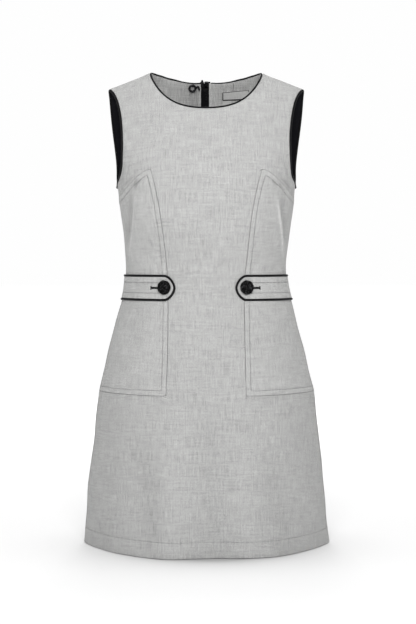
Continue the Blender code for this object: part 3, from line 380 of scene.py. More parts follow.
def makeCloth(name, finishName, usesPattern=True):
    finish = {**anyCloth, **clothFinishes[finishName]}
    material, tree, shader = newMaterial(name)
    if usesPattern:
        place = addNode(tree, "ShaderNodeUVMap", uv_map="pattern").outputs[0]
    else:
        place = addNode(tree, "ShaderNodeTexCoord").outputs["Object"]
    threads = useGroup(
        tree, threadGroup, Vector=place, Pitch=finish["pitch"], Uneven=finish["uneven"],
        Warp=(*finish["warp"], 1.0), Weft=(*finish["weft"], 1.0))
    slubs = useGroup(tree, slubGroup, Vector=place, Across=finish["across"], Along=finish["along"])["Value"]
    mottle = useGroup(tree, mottleGroup, Vector=place, Depth=finish["mottle"])["Factor"]
    tone = chain(tree, slubs, ("SUBTRACT", 0.5), ("MULTIPLY", finish["slub"]), ("ADD", 1.0))
    tone = chain(tree, tone, ("MULTIPLY", mottle))
    rise = chain(tree, threads["Height"], ("ADD", slubs))
    bump = addNode(tree, "ShaderNodeBump", {"Strength": finish["bump"], "Distance": 0.00025, "Height": rise})
    if finish["rows"]:
        away = addNode(tree, "ShaderNodeUVMap", uv_map="rows").outputs[0]
        parts = addNode(tree, "ShaderNodeSeparateXYZ", {0: away}).outputs
        rows = [useGroup(tree, rowGroup, Away=parts[k], Light=finish["rows"]) for k in (0, 1)]
        # painted shade and light of the creases, read from the fold attribute
        fold = addNode(tree, "ShaderNodeAttribute", attribute_name="fold").outputs["Fac"]
        fold = chain(tree, fold, ("ADD", 1.0))
        tone = chain(tree, tone, *(("MULTIPLY", other) for other in (rows[0]["Tone"], rows[1]["Tone"], fold)))
        pressed = chain(tree, rows[0]["Height"], ("ADD", rows[1]["Height"]))
        press = addNode(tree, "ShaderNodeBump", {"Distance": 0.0005, "Height": pressed})
        feed(tree, bump, {"Normal": press.outputs[0]})
    feed(tree, shader, {
        "Base Color": vectorMath(tree, "SCALE", a=threads["Color"], scale=tone),
        "Roughness": chain(tree, slubs, ("MULTIPLY", 0.16), ("ADD", finish["roughness"] - 0.08)),
        "Normal": bump.outputs[0], "Specular IOR Level": finish["specular"],
        "Sheen Weight": finish["sheen"], "Sheen Roughness": 0.5})
    return material


finishes = {name: makeCloth(name, name) for name in clothFinishes}
cordFinish = makeCloth("cordCloth", "piping", usesPattern=False)

anySolid = {
    # two colours that noise mixes, the noise's size, how sparse the light one is, fine grain and gloss
    "patch": 240.0, "sparse": 1.0, "grain": 2600.0, "roughness": 0.75, "spread": 0.1, "metallic": 0.0,
    "bump": 0.3, "depth": 0.0001, "specular": 0.2,
}
solidFinishes = {
    "thread": {"dark": (0.030, 0.030, 0.032), "light": (0.075, 0.075, 0.078), "roughness": 0.7},
    "midThread": {"dark": (0.10, 0.10, 0.102), "light": (0.20, 0.20, 0.20)},
    "paleThread": {"dark": (0.20, 0.20, 0.20), "light": (0.34, 0.34, 0.335)},
    "blackThread": {
        "dark": (0.003, 0.003, 0.0035), "light": (0.010, 0.010, 0.011), "roughness": 0.7, "specular": 0.15,
    },
    # painted glints: the sparse light flecks on the black leather
    "leather": {
        "dark": (0.0004, 0.0004, 0.0005), "light": (0.0360, 0.0360, 0.0380), "patch": 400.0, "sparse": 3.2,
        "grain": 1500.0, "roughness": 0.50, "spread": 0.24, "bump": 0.8, "depth": 0.0003, "specular": 0.045,
    },
    "zipMetal": {
        "dark": (0.006, 0.006, 0.007), "light": (0.020, 0.020, 0.022), "patch": 500.0, "grain": 3000.0,
        "roughness": 0.34, "spread": 0.22, "metallic": 0.5, "bump": 0.12, "depth": 0.00005,
    },
    "fastener": {
        "dark": (0.006, 0.006, 0.007), "light": (0.018, 0.018, 0.020), "patch": 700.0, "grain": 3400.0,
        "roughness": 0.36, "spread": 0.2, "metallic": 0.5, "bump": 0.12, "depth": 0.00005,
    },
}


def makeSolid(name):
    finish = {**anySolid, **solidFinishes[name]}
    material, tree, shader = newMaterial(name)
    place = addNode(tree, "ShaderNodeTexCoord").outputs["Object"]
    wearAndGlint, grain = useGroup(tree, wearAndGlintGroup, Vector=place, Patch=finish["patch"], Grain=finish["grain"])
    # the light colour goes where the patches are: wear, and on the leather painted glints
    share = chain(tree, wearAndGlint, ("POWER", finish["sparse"]))
    relief = {"Strength": finish["bump"], "Distance": finish["depth"], "Height": grain}
    smoothest = finish["roughness"] - finish["spread"] / 2
    feed(tree, shader, {
        "Base Color": mixNode(tree, "RGBA", share, (*finish["dark"], 1.0), (*finish["light"], 1.0)),
        "Roughness": chain(tree, wearAndGlint, ("MULTIPLY", finish["spread"]), ("ADD", smoothest)),
        "Normal": addNode(tree, "ShaderNodeBump", relief).outputs[0],
        "Metallic": finish["metallic"], "Specular IOR Level": finish["specular"]})
    return material


solids = {name: makeSolid(name) for name in solidFinishes}
print("finishes ready")


# -- the worn shape: creases and soft unevenness, the same for every layer at a place, with painted shade and light along the creases

frontCreases = (
    # path in mm as (x, z), widths on its left and right going down, rise and tone.
    # A rise below 0 sinks. The tone is painted shade and light: below 0 it darkens the colour as shade in a
    # fold, above 0 it lightens it as light on a ridge.
    (((-122, -196), (-126, -242), (-129, -268), (-133, -295), (-137, -322)), (12, 5), 2.2, 0),
    (((-122, -198), (-126, -242), (-129, -268), (-133, -295), (-138, -334)), (1.7, 1.7), 0, 0.20),
    (((-132, -192), (-135, -242), (-138, -272), (-141, -304)), (5.0, 6.0), -1.8, -0.17),
    (((-108, -200), (-113, -245), (-119, -290)), (14, 9), 0.5, 0.05),
    (((121, -200), (126, -240), (130, -268), (134, -296), (138, -318)), (5, 11), 2.0, 0),
    (((121, -202), (126, -240), (130, -268), (134, -296), (139, -328)), (2.4, 2.4), 0, 0.42),
    (((131, -196), (135, -240), (138, -268), (141, -298)), (5.0, 5.0), -1.8, -0.20),
    (((-111, -180), (-118, -188), (-126, -199)), (1.8, 2.6), -1.4, -0.34),
    (((112, -181), (118, -188), (124, -196)), (2.6, 1.8), -1.4, -0.30),
    (((-118, -178), (-124, -188), (-134, -197)), (1.7, 1.7), 0, -0.26),
    (((-116, -164), (-134, -182), (-154, -204)), (1.6, 1.6), 0, -0.16),
    (((120, -181), (129, -192), (140, -204)), (1.8, 1.8), 0, -0.28),
    (((119, -166), (134, -182), (156, -206)), (1.6, 1.6), 0, -0.26),
    (((128, -140), (138, -160), (146, -186)), (2.4, 2.4), -0.5, -0.11),
    (((-143, -144), (-146, -168), (-151, -194)), (2.6, 2.6), -1.1, -0.15),
    (((-152, -150), (-152, -170), (-155, -186)), (2.4, 2.4), 0.6, 0.04),
    (((-134, -152), (-137, -170), (-140, -186)), (1.8, 1.8), -0.5, -0.13),
    (((152, -150), (150, -174), (147, -190)), (3.4, 3.4), -0.9, -0.08),
    (((140, -160), (141, -180), (144, -198)), (1.6, 1.6), -0.4, -0.10),
    (((-88, -268), (-82, -300), (-79, -342)), (7, 7), -0.9, -0.02),
    (((86, -262), (82, -296), (80, -340)), (7, 7), -0.7, -0.02),
    (((-40, -300), (-8, -308), (26, -303)), (12, 12), -0.7, 0),
    (((-30, -338), (8, -345), (44, -338)), (11, 11), 0.6, 0),
    (((-60, -80), (-76, -112), (-92, -150)), (9, 9), -0.7, 0),
    (((66, -84), (82, -118), (96, -152)), (9, 9), -0.6, 0),
    (((-140, -402), (-128, -440), (-122, -486)), (9, 9), -0.9, -0.02),
    (((142, -404), (131, -446), (124, -494)), (9, 9), -0.8, -0.02),
    (((-4, -560), (4, -660), (14, -770), (16, -822)), (24, 20), -2.6, -0.045),
    (((-122, -610), (-112, -690), (-99, -770), (-92, -822)), (20, 15), -2.4, -0.06),
    (((-50, -560), (-54, -680), (-58, -822)), (22, 22), 1.6, 0.03),
    (((66, -600), (66, -700), (72, -822)), (22, 22), 1.4, 0.03),
    (((112, -640), (122, -720), (138, -822)), (14, 24), -2.0, -0.06),
    (((-168, -620), (-176, -710), (-186, -822)), (14, 14), -1.4, -0.02),
)
backCreases = (
    (((-30, -338), (-62, -330), (-96, -312)), (9, 6), -3.2, -0.10),
    (((-26, -352), (-64, -346), (-104, -330)), (7, 7), 2.0, 0.05),
    (((24, -334), (58, -324), (92, -302)), (6, 9), -2.8, -0.09),
    (((22, -350), (60, -342), (100, -324)), (7, 7), 1.8, 0.05),
    (((-120, -180), (-108, -214), (-94, -252)), (10, 7), -2.4, -0.08),
    (((124, -182), (110, -220), (98, -262)), (7, 10), -2.2, -0.08),
    (((-14, -120), (-15, -210), (-13, -300)), (6, 6), -0.9, -0.03),
    (((14, -90), (15, -180), (13, -260)), (6, 6), -0.8, -0.03),
    (((-12, -500), (-22, -610), (-34, -818)), (22, 22), -3.0, -0.06),
    (((58, -560), (74, -680), (92, -820)), (20, 20), -2.8, -0.06),
    (((-150, -610), (-160, -710), (-170, -822)), (16, 16), -2.2, -0.04),
)
# painted shade and light on the inside of the back neck facings, in the creases' columns: a tone below 0
# darkens, above 0 lightens
facingShades = (
    (((-34, 20), (-24, -14), (-18, -60)), (16, 12), 0, -0.24),
    (((-58, 20), (-60, -14), (-62, -60)), (14, 14), 0, 0.05),
    (((12, 20), (13, -14), (14, -60)), (7, 8), 0, 0.08),
    (((62, 20), (60, -14), (56, -60)), (12, 12), 0, -0.06),
)
waves = (
    # direction, wavelength in mm, phase, rise in mm
    ((1.0, 0.3, 0.5), 118.0, 0.4, 0.55),
    ((-0.7, 0.5, 0.8), 83.0, 1.9, 0.38),
    ((0.3, -0.8, 1.0), 151.0, 3.1, 0.50),
    ((1.0, 0.6, -0.4), 57.0, 5.0, 0.20),
    ((0.2, 0.4, 1.0), 64.0, 2.2, 0.22),
)
neckFit = {
    # |x| in mm, and how far the back neck edge, the front neck edge and the shoulders move up
    "x": (0, 8, 20, 30, 44, 54, 69, 80, 92, 104, 116),
    "back": (-2.2, -2.4, -3.5, -3.3, -2.3, -1.1, 0, 0, 0, 0, 0),
    "front": (-2.6, -2.6, -2.6, -2.6, -2.6, -2.6, -1.6, -0.4, 0, 0, 0),
    "shoulder": (0, 0, 0, 0, 0, 0, 0, 2.0, 2.4, 1.0, 0),
}
underarm = {
    # the armhole's lowest point, how far it moves and over what reach, and the piping's knot there, in mm
    "across": 161.0, "up": -186.0, "reach": 36.0, "in": -1.7, "down": -4.5, "knot": 1.3, "knotReach": 18.0,
}
bodyHalf = (150.0, 95.0)     # half width and depth in mm that tell which way is out
hemStart = -800.0            # a crease whose path ends below this runs out over the hem


def fade(share):
    share = np.clip(share, 0.0, 1.0)
    return share * share * (3.0 - 2.0 * share)


def creaseShare(x, z, path, widths):
    # how much of a crease a place gets, from 0 to 1
    corners = np.array(path, float)
    lengths = np.linalg.norm(np.diff(corners, axis=0), axis=1)
    starts = np.concatenate(([0.0], np.cumsum(lengths)))
    nearest = np.full(x.shape, 1e9)
    where = np.zeros(x.shape)
    onLeft = np.zeros(x.shape, bool)
    for k, length in enumerate(lengths):
        ax, az = corners[k]
        bx, bz = corners[k + 1] - corners[k]
        share = np.clip(((x - ax) * bx + (z - az) * bz) / (length * length), 0.0, 1.0)
        away = np.hypot(x - ax - share * bx, z - az - share * bz)
        closer = away < nearest
        nearest = np.where(closer, away, nearest)
        where = np.where(closer, starts[k] + share * length, where)
        onLeft = np.where(closer, bx * (z - az) - bz * (x - ax) > 0, onLeft)
    where = where / starts[-1]
    toEdge = 1.0 if corners[-1][1] < hemStart else fade((1.0 - where) / 0.3)
    return np.exp(-(nearest / np.where(onLeft, *widths)) ** 2) * fade(where / 0.3) * toEdge


def creased(points, key):
    # the sum of the creases' rise or painted tone of shade and light at points in metres, on the front or the
    # back
    x, y, z = points.T / mm
    total = np.zeros(len(points))
    for side, creases in ((-1, frontCreases), (1, backCreases)):
        side = fade(side * y / 16.0)
        for path, widths, rise, tone in creases:
            amount = {"rise": rise, "tone": tone}[key]
            if amount:
                total += amount * creaseShare(x, z, path, widths) * side
    return total


def drape(points):
    # moves points in metres out or in with the worn cloth
    x, y, z = points.T / mm
    rise = np.zeros(len(points))
    for (dx, dy, dz), wavelength, phase, height in waves:
        rise += height * np.sin((x * dx + y * dy + z * dz) * 2.0 * math.pi / wavelength + phase)
    rise *= 0.35 + 0.65 * fade((-150.0 - z) / 120.0)
    rise += creased(points, "rise")
    outward = np.stack((x / bodyHalf[0]**2, y / bodyHalf[1]**2, np.zeros(len(x))), axis=1)
    outward /= np.linalg.norm(outward, axis=1, keepdims=True) + 1e-9
    outward[:, 2] = fade((z + 60.0) / 60.0)
    outward /= np.linalg.norm(outward, axis=1, keepdims=True)
    moved = points + outward * (rise * mm)[:, None]
    lift = {key: np.interp(np.abs(x), neckFit["x"], neckFit[key]) for key in ("back", "front", "shoulder")}
    moved[:, 2] += mm * lift["back"] * fade((y - 8.0) / 16.0) * fade((z + 45.0) / 45.0)
    moved[:, 2] += mm * lift["front"] * fade((-y - 8.0) / 16.0) * fade((z + 125.0) / 60.0)
    moved[:, 2] += mm * lift["shoulder"] * fade((z + 34.0) / 30.0)
    away = np.sqrt((np.abs(x) - underarm["across"]) ** 2 + y**2 + (z - underarm["up"]) ** 2)
    near = fade(1.0 - away / underarm["reach"])
    moved[:, 0] += mm * underarm["in"] * np.sign(x) * near
    moved[:, 2] += mm * underarm["down"] * near
    return moved


def drapePiece(piece, tone=0.0, shades=()):
    places = readRows(piece.data.vertices, "co", 3)
    # the fold attribute gets the painted shade and light of the creases and of the shades, together with the
    # piece's tone
    tones = creased(places, "tone") + tone
    for path, widths, _, depth in shades:
        tones += depth * creaseShare(places[:, 0] / mm, places[:, 2] / mm, path, widths)
    fold = piece.data.attributes.new("fold", "FLOAT", "POINT")
    fold.data.foreach_set("value", tones.astype(np.float32))
    piece.data.vertices.foreach_set("co", drape(places).ravel())
    piece.data.update()


# -- cloth pieces, each a thin shell on its solid's outer face

tapeShift = {"left": -3.6, "right": -1.5, "slot": 4.2, "edge": 6.2, "out": 36.0, "over": 24.0}      # mm
tabShift = {"across": -3.0, "from": 142.0, "over": 80.0, "middle": -369.8, "tall": 1.05}
labelShift = {"from": 27.0, "to": 77.0, "across": 2.4, "in": -0.7}


def shiftTape(piece):
    # the tape and the facing edges beside it sit a little to the left on the inner side
    for vertex in piece.data.vertices:
        x = vertex.co.x / mm
        side = tapeShift["left"] if x < 0 else tapeShift["right"]
        share = fade((abs(x) - tapeShift["slot"]) / (tapeShift["edge"] - tapeShift["slot"]))
        share *= fade((tapeShift["out"] - abs(x)) / tapeShift["over"])
        vertex.co.x += float(side * share) * mm


def shapeTab(piece):
    # both tabs are a little taller than their form, and the right one reaches further to the front
    for vertex in piece.data.vertices:
        vertex.co.z = (tabShift["middle"] + (vertex.co.z / mm - tabShift["middle"]) * tabShift["tall"]) * mm
        if vertex.co.x > 0:
            share = float(fade((tabShift["from"] - vertex.co.x / mm) / tabShift["over"]))
            vertex.co.x += share * tabShift["across"] * mm


def shiftLabel(piece):
    # the label's free end is drawn in a little
    for vertex in piece.data.vertices:
        share = min(1.0, (labelShift["to"] - vertex.co.x / mm) / (labelShift["to"] - labelShift["from"]))
        vertex.co += Vector((labelShift["across"], labelShift["in"], 0.0)) * share * mm


def copyOfNode(nodeName, newName):
    piece = addObject(newName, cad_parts[nodeName].data.copy())
    makeActive(piece)
    piece.data.materials.clear()
    bpy.ops.mesh.customdata_custom_splitnormals_clear()
    editAll(piece)
    bpy.ops.mesh.remove_doubles(threshold=0.00002)
    leaveEdit()
    return piece


def outerFaces(mesh):
    # the layer that looks away from the wearer, found by spreading over gentle edges
    left = set(mesh.faces)
    layers = []
    while left:
        seed = left.pop()
        layer, edge = {seed}, [seed]
        while edge:
            for side in edge.pop().edges:
                if len(side.link_faces) == 2 and side.calc_face_angle(0.0) <= math.radians(52):
                    fresh = [face for face in side.link_faces if face in left]
                    left.difference_update(fresh)
                    layer.update(fresh)
                    edge.extend(fresh)
        layers.append(layer)

    def outwardness(layer):
        score = 0.0
        for face in layer:
            middle = face.calc_center_median()
            away = Vector((middle.x / 0.0225, middle.y / 0.009, 0.0))
            score += face.calc_area() * face.normal.dot(away)
        return score

    return max(layers, key=outwardness)


def joinTriangles(mesh):
    # every square was cut the same way, so one sure diagonal shows where the others are
    def error(edge):
        if len(edge.link_faces) != 2:
            return 9.0
        whole = edge.calc_length() ** 2
        sums = [sum(e.calc_length() ** 2 for e in face.edges if e is not edge) for face in edge.link_faces]
        return max(abs(whole - sides) / whole for sides in sums)

    seed = min(mesh.edges, key=error)
    first = seed.link_faces[0]
    start = [loop.edge for loop in first.loops].index(seed)
    turn = {first: (2 - start) % 3}
    todo = [first]
    diagonals = set()
    while todo:
        face = todo.pop()
        for k, loop in enumerate(face.loops):
            kind = (k + turn[face]) % 3
            if kind == 2:
                diagonals.add(loop.edge)
            for other in loop.edge.link_faces:
                if other not in turn:
                    place = [l.edge for l in other.loops].index(loop.edge)
                    turn[other] = (kind - place) % 3
                    todo.append(other)
    bmesh.ops.dissolve_edges(mesh, edges=[e for e in diagonals if len(e.link_faces) == 2], use_verts=False)


def layOutPattern(piece):
    # unwraps the sheet and turns and sizes it as the cut cloth, in metres
    editAll(piece)
    bpy.ops.uv.unwrap(method="ANGLE_BASED", margin=0.0)
    leaveEdit()
    data = piece.data
    layer = data.uv_layers[0]
    layer.name = "pattern"
    spots = readRows(layer.data, "uv", 2)
    corners = np.array([data.vertices[loop.vertex_index].co[:] for loop in data.loops])
    weights = np.zeros(len(data.loops))
    flatArea = 0.0
    for face in data.polygons:
        weights[list(face.loop_indices)] = face.area * abs(face.normal.y) ** 3
        loopSpots = spots[list(face.loop_indices)]
        after = np.roll(loopSpots, -1, axis=0)
        flatArea += abs(np.sum(loopSpots[:, 0] * after[:, 1] - loopSpots[:, 1] * after[:, 0])) / 2.0
    size = math.sqrt(sum(face.area for face in data.polygons) / flatArea)
    target = corners[:, 0] + 1j * corners[:, 2]
    middle = np.sum(target * weights) / weights.sum()
    target = target - middle
    results = []
    for flip in (1.0, -1.0):
        flat = spots[:, 0] + 1j * flip * spots[:, 1]
        flat = flat - np.sum(flat * weights) / weights.sum()
        turn = np.sum(target * np.conj(flat) * weights)
        turned = flat * turn / abs(turn) * size
        results.append((np.sum(np.abs(target - turned) ** 2 * weights), turned))
    result = min(results, key=lambda r: r[0])[1] + middle
    layer.data.foreach_set("uv", np.stack((result.real, result.imag), axis=1).ravel())


def edgeRings(data):
    # the sheet's edges, each as a closed row of its points in order
    mesh = bmesh.new()
    mesh.from_mesh(data)
    after = {}
    for edge in mesh.edges:
        if len(edge.link_loops) == 1:
            loop = edge.link_loops[0]
            after[loop.vert.index] = loop.link_loop_next.vert.index
    mesh.free()
    rings = []
    while after:
        start = next(iter(after))
        here = after.pop(start)
        ring = [start]
        while here != start:
            ring.append(here)
            here = after.pop(here)
        rings.append(ring)
    return rings


def keepSheet(name, piece):
    # remembers the finished outer face, so that sewing can be laid on it by pattern place
    data = piece.data
    data.calc_loop_triangles()
    points = readRows(data.vertices, "co", 3)
    flat = np.zeros((len(points), 2))
    flat[[loop.vertex_index for loop in data.loops]] = readRows(data.uv_layers["pattern"].data, "uv", 2)
    triangles = [tuple(t.vertices) for t in data.loop_triangles]
    sheets[name] = {
        "points": points, "flat": flat, "triangles": triangles, "rings": edgeRings(data),
        "normals": np.array([v.normal[:] for v in data.vertices]),
        "tree": BVHTree.FromPolygons([Vector((u, v, 0.0)) for u, v in flat], triangles),
        "form": BVHTree.FromPolygons([Vector(point) for point in points], triangles),
    }


def shares(a, b, c, spot):
    # how much of each corner of a triangle a spot on it takes
    whole = (b - a).cross(c - a)
    second = (spot - a).cross(c - a).dot(whole) / whole.dot(whole)
    third = (b - a).cross(spot - a).dot(whole) / whole.dot(whole)
    return 1.0 - second - third, second, third


def onCloth(name, u, v):
    # the point and outward normal of a place on the pattern, or the nearest one to it
    sheet = sheets[name]
    hit, _, index, _ = sheet["tree"].find_nearest(Vector((u, v, 0.0)))
    corners = list(sheet["triangles"][index])
    parts = shares(*(Vector((*sheet["flat"][k], 0.0)) for k in corners), hit)
    return Vector(parts @ sheet["points"][corners]), Vector(parts @ sheet["normals"][corners]).normalized()


seamInset = 9.2
edgeTests = {
    # which points of a sheet's edge belong to a seam or fold, in mm
    "hem": lambda x, y, z: z < -825.0,
    "panelEdge": lambda x, y, z: abs(y) > 2.4,
    "sideSeam": lambda x, y, z: abs(y) < 2.4 and z < -393.0,
    "zipEdge": lambda x, y, z: abs(x) < 6.0 and z > -479.0 and y > 20.0,
    "facingEdge": lambda x, y, z: -12.5 < x < 7.5,
    "labelSide": lambda x, y, z: x < 31.2,
    "labelFoot": lambda x, y, z: z < -27.4,
    "labelTop": lambda x, y, z: z > -17.4,
    "tabTop": lambda x, y, z: abs(x) > 76.0 and z > -362.0 and abs(y) > 3.0,
    "tabFoot": lambda x, y, z: abs(x) > 76.0 and z < -378.0 and abs(y) > 3.0,
}
rowPlans = dict(bothSides((
    # edge, inset in mm, which of the two distances it gives
    ("frontCloth", (("sideSeam", seamInset, 0), ("hem", 27.0, 1))),
    ("sidePanel*", (("panelEdge", seamInset, 0), ("sideSeam", seamInset, 1))),
    ("backCloth*", (("zipEdge", 3.0, 0), ("hem", 27.0, 1))),
    ("neckFacing*", (("facingEdge", 5.5, 0),)),
    ("tab*", (("tabTop", 9.8, 0), ("tabFoot", 9.8, 1))),
)))
rowReach = {"none": 0.05, "flat": -0.0078}      # far from any row, and as near as a flat edge gets, in metres


def edgeRuns(name, test):
    # stretches of the sheet's edge whose points pass a test
    sheet = sheets[name]
    runs = []
    for ring in sheet["rings"]:
        chosen = [bool(test(*(sheet["points"][k] / mm))) for k in ring]
        if False not in chosen:
            runs.append(ring + ring[:1])
            continue
        first = chosen.index(False)
        turned = zip(chosen[first:] + chosen[:first], ring[first:] + ring[:first])
        for kept, part in itertools.groupby(turned, key=lambda pair: pair[0]):
            part = [k for _, k in part]
            if kept and len(part) > 2:
                runs.append(part)
    return runs


def awayFrom(places, line):
    # shortest distance from each place to a polyline, both on the pattern
    starts, spans = line[:-1], np.diff(line, axis=0)
    lengths = np.maximum(np.sum(spans**2, axis=1), 1e-14)
    nearest = np.empty(len(places))
    for low in range(0, len(places), 4000):
        part = places[low:low + 4000, None, :] - starts[None]
        share = np.clip(np.sum(part * spans[None], axis=2) / lengths, 0.0, 1.0)
        gap = part - share[..., None] * spans[None]
        nearest[low:low + 4000] = np.sqrt(np.min(np.sum(gap**2, axis=2), axis=1))
    return nearest


def layOutRows(piece, name):
    # a second map holds how far each point lies past the nearest row of stitches
    flat = sheets[name]["flat"]
    away = np.full((len(flat), 2), rowReach["none"])
    for edgeName, inset, channel in rowPlans[name]:
        for run in edgeRuns(name, edgeTests[edgeName]):
            gap = awayFrom(flat, flat[run]) - inset * mm
            if not name.startswith("sidePanel"):     # only the panels' edges dip dark into a seam
                gap = np.maximum(gap, rowReach["flat"])
            away[:, channel] = np.minimum(away[:, channel], gap)
    layer = piece.data.uv_layers.new(name="rows")
    layer.data.foreach_set("uv", away[[loop.vertex_index for loop in piece.data.loops]].ravel())


def makeSheet(nodeName, pieceName, plan):
    piece = copyOfNode(nodeName, pieceName)
    mesh = bmesh.new()
    mesh.from_mesh(piece.data)
    outer = outerFaces(mesh)
    bmesh.ops.delete(mesh, geom=[face for face in mesh.faces if face not in outer], context="FACES")
    joinTriangles(mesh)
    mesh.to_mesh(piece.data)
    mesh.free()
    layOutPattern(piece)
    subdivide(piece, plan["levels"], "PRESERVE_CORNERS")
    if "shift" in plan:
        plan["shift"](piece)
    drapePiece(piece, plan.get("tone", 0.0), plan.get("shades", ()))
    keepSheet(pieceName, piece)
    if pieceName in rowPlans:
        layOutRows(piece, pieceName)
    return piece


def thickenSheet(piece, plan):
    shell = {"thickness": plan["thick"] * mm, "offset": -1.0}
    if "hem" in plan:
        # the turned hem is thicker
        whole = piece.vertex_groups.new(name="hem")
        for vertex in piece.data.vertices:
            turned = float(fade((plan["hem"] + 2.0 - vertex.co.z / mm) / 3.0))
            whole.add([vertex.index], plan["thick"] / plan["hemThick"] * (1 - turned) + turned, "REPLACE")
        shell.update(thickness=plan["hemThick"] * mm, vertex_group="hem")
    addModifier(piece, "SOLIDIFY", **shell)
    rounding = {"width": plan["round"] * mm, "segments": 2}
    addModifier(piece, "BEVEL", limit_method="ANGLE", angle_limit=math.radians(60), **rounding)
    bpy.ops.object.shade_smooth_by_angle(angle=math.radians(50))


def finishPiece(piece, material, slotName, nodes=()):
    piece.data.materials.clear()
    piece.data.materials.append(material)
    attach(piece, "root")
    if nodes:
        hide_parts(*nodes)


outerCloth = {"levels": 2, "thick": 1.3, "hem": -802.0, "hemThick": 2.4, "round": 0.35}
panelCloth = {"levels": 3, "thick": 1.3, "round": 0.35, "tone": 0.045}      # a little lighter than the front cloth
facingCloth = {"levels": 2, "thick": 1.0, "round": 0.25}
neckFacingCloth = {**facingCloth, "shift": shiftTape, "shades": facingShades}
tabCloth = {"levels": 2, "thick": 2.0, "round": 0.6, "tone": 0.04, "shift": shapeTab}
tapeCloth = {"levels": 1, "thick": 0.8, "round": 0.15, "shift": shiftTape}
labelCloth = {"levels": 2, "thick": 0.7, "round": 0.15, "shift": shiftLabel}
clothPieces = (
    # node, piece, plan, finish, slot
    ("front", "frontCloth", outerCloth, "weave", "weave"),
    ("side_panel_*", "sidePanel*", panelCloth, "weave", "weave"),
    ("back_*", "backCloth*", outerCloth, "weave", "weave"),
    ("back_facing_*", "neckFacing*", neckFacingCloth, "facing", "facing"),
    ("armhole_facing_front_*", "armFacingFront*", facingCloth, "blackCloth", "black_cloth"),
    ("armhole_facing_back_*", "armFacingBack*", facingCloth, "blackCloth", "black_cloth"),
    ("tab_left", "tabLeft", tabCloth, "weave", "weave"),
    ("tab_right", "tabRight", {**tabCloth, "tone": 0.07}, "weave", "weave"),
    ("zip_tape", "zipTape", tapeCloth, "zipTape", "zip_tape"),
    ("label", "neckLabel", labelCloth, "label", "label"),
    ("care_label", "careLabel", labelCloth, "label", "label"),
)
for nodeName, pieceName, plan, finish, slotName in bothSides(clothPieces):
    piece = makeSheet(nodeName, pieceName, plan)
    thickenSheet(piece, plan)
    finishPiece(piece, finishes[finish], slotName, [nodeName])
    flat = sheets[pieceName]["flat"]
    area = sum(face.area for face in piece.data.polygons) / 2.0
    print(pieceName, "cut", np.round(flat.max(axis=0) - flat.min(axis=0), 3), "area", round(area, 4))
print("cloth ready")


# -- piping

def fatten(piece, amount):
    editAll(piece)
    bpy.ops.transform.shrink_fatten(value=amount * mm)
    leaveEdit()


armDrawn = 0.55      # how far the armhole piping is drawn in at the back, over the edge of the facing, in mm


def makePiping(nodeName, pieceName, plump):
    piece = copyOfNode(nodeName, pieceName)
    editAll(piece)
    bpy.ops.mesh.tris_convert_to_quads(face_threshold=math.radians(60), shape_threshold=math.radians(80))
    leaveEdit()
    subdivide(piece, 2)
    fatten(piece, plump)
    for vertex in piece.data.vertices:
        side = math.copysign(1.0, vertex.co.x)
        if pieceName == "neckPiping":
            # rolled back and down where it runs behind the back neck
            sunk = float(fade((vertex.co.y / mm - 22.0) / 14.0) * fade((70.0 - abs(vertex.co.x) / mm) / 30.0))
            vertex.co += Vector((0.0, 0.6, -1.3)) * sunk * mm
        if pieceName.startswith("arm"):
            vertex.co.x -= side * armDrawn * float(fade(vertex.co.y / mm / 16.0)) * mm
            # fuller at the underarm, where its ends are joined
            lowest = Vector((side * underarm["across"], 0.0, underarm["up"]))
            near = float(fade(1.0 - (vertex.co / mm - lowest).length / underarm["knotReach"]))
            vertex.co += Vector((side, 0.0, -1.0)) * underarm["knot"] * near * mm
    if pieceName.startswith("tab"):
        shapeTab(piece)
    drapePiece(piece)
    bpy.ops.object.shade_smooth()
    finishPiece(piece, cordFinish, "piping", [nodeName])


for nodeName, pieceName, plump in bothSides((
    ("neck_piping", "neckPiping", 0.10),
    ("armhole_piping_*", "armPiping*", 0.85),
    ("tab_piping_*", "tabPiping*", 0.82),
)):
    makePiping(nodeName, pieceName, plump)
print("piping ready")


# -- sewing

threadPlan = {
    "radius": 0.27, "pitch": 3.0, "length": 2.35, "lift": 0.10, "uneven": 0.17,
    "sides": 6, "rings": 6, "sag": 0.35, "start": 0.4,
}
toFront = Vector((0.0, -1.0, 0.0))


def makeStitch(name, radius, blunt=3.0):
    # one stitch along X, a unit long, plump in the middle and sunk at both ends
    deselectAll()
    bpy.ops.mesh.primitive_uv_sphere_add(segments=threadPlan["sides"], ring_count=threadPlan["rings"])
    stitch = bpy.context.object
    stitch.name = name
    editAll(stitch)
    bpy.ops.transform.rotate(value=math.pi / 2, orient_axis="Y", center_override=(0.0, 0.0, 0.0))
    leaveEdit()
    for vertex in stitch.data.vertices:
        along = max(-1.0, min(1.0, vertex.co.x))
        thin = math.hypot(vertex.co.y, vertex.co.z)
        reach = radius * mm * (1.0 - abs(along) ** blunt) ** 0.5
        if thin > 1e-6:
            vertex.co.y *= reach / thin
            vertex.co.z *= reach / thin
        vertex.co.z -= threadPlan["sag"] * radius * mm * along * along
        vertex.co.x = along * 0.5
    bpy.ops.object.shade_smooth()
    return stitch


def lineMatrix(start, end, normal):
    # stands a unit stitch on the line from start to end, its back to the cloth
    along = end - start
    x = along.normalized()
    y = normal.cross(x).normalized()
    matrix = Matrix((x * along.length, y, x.cross(y))).transposed().to_4x4()
    return Matrix.Translation((start + end) / 2) @ matrix


def standMatrix(place, x, y, z):
    return Matrix.Translation(place) @ Matrix((x, y, z)).transposed().to_4x4()


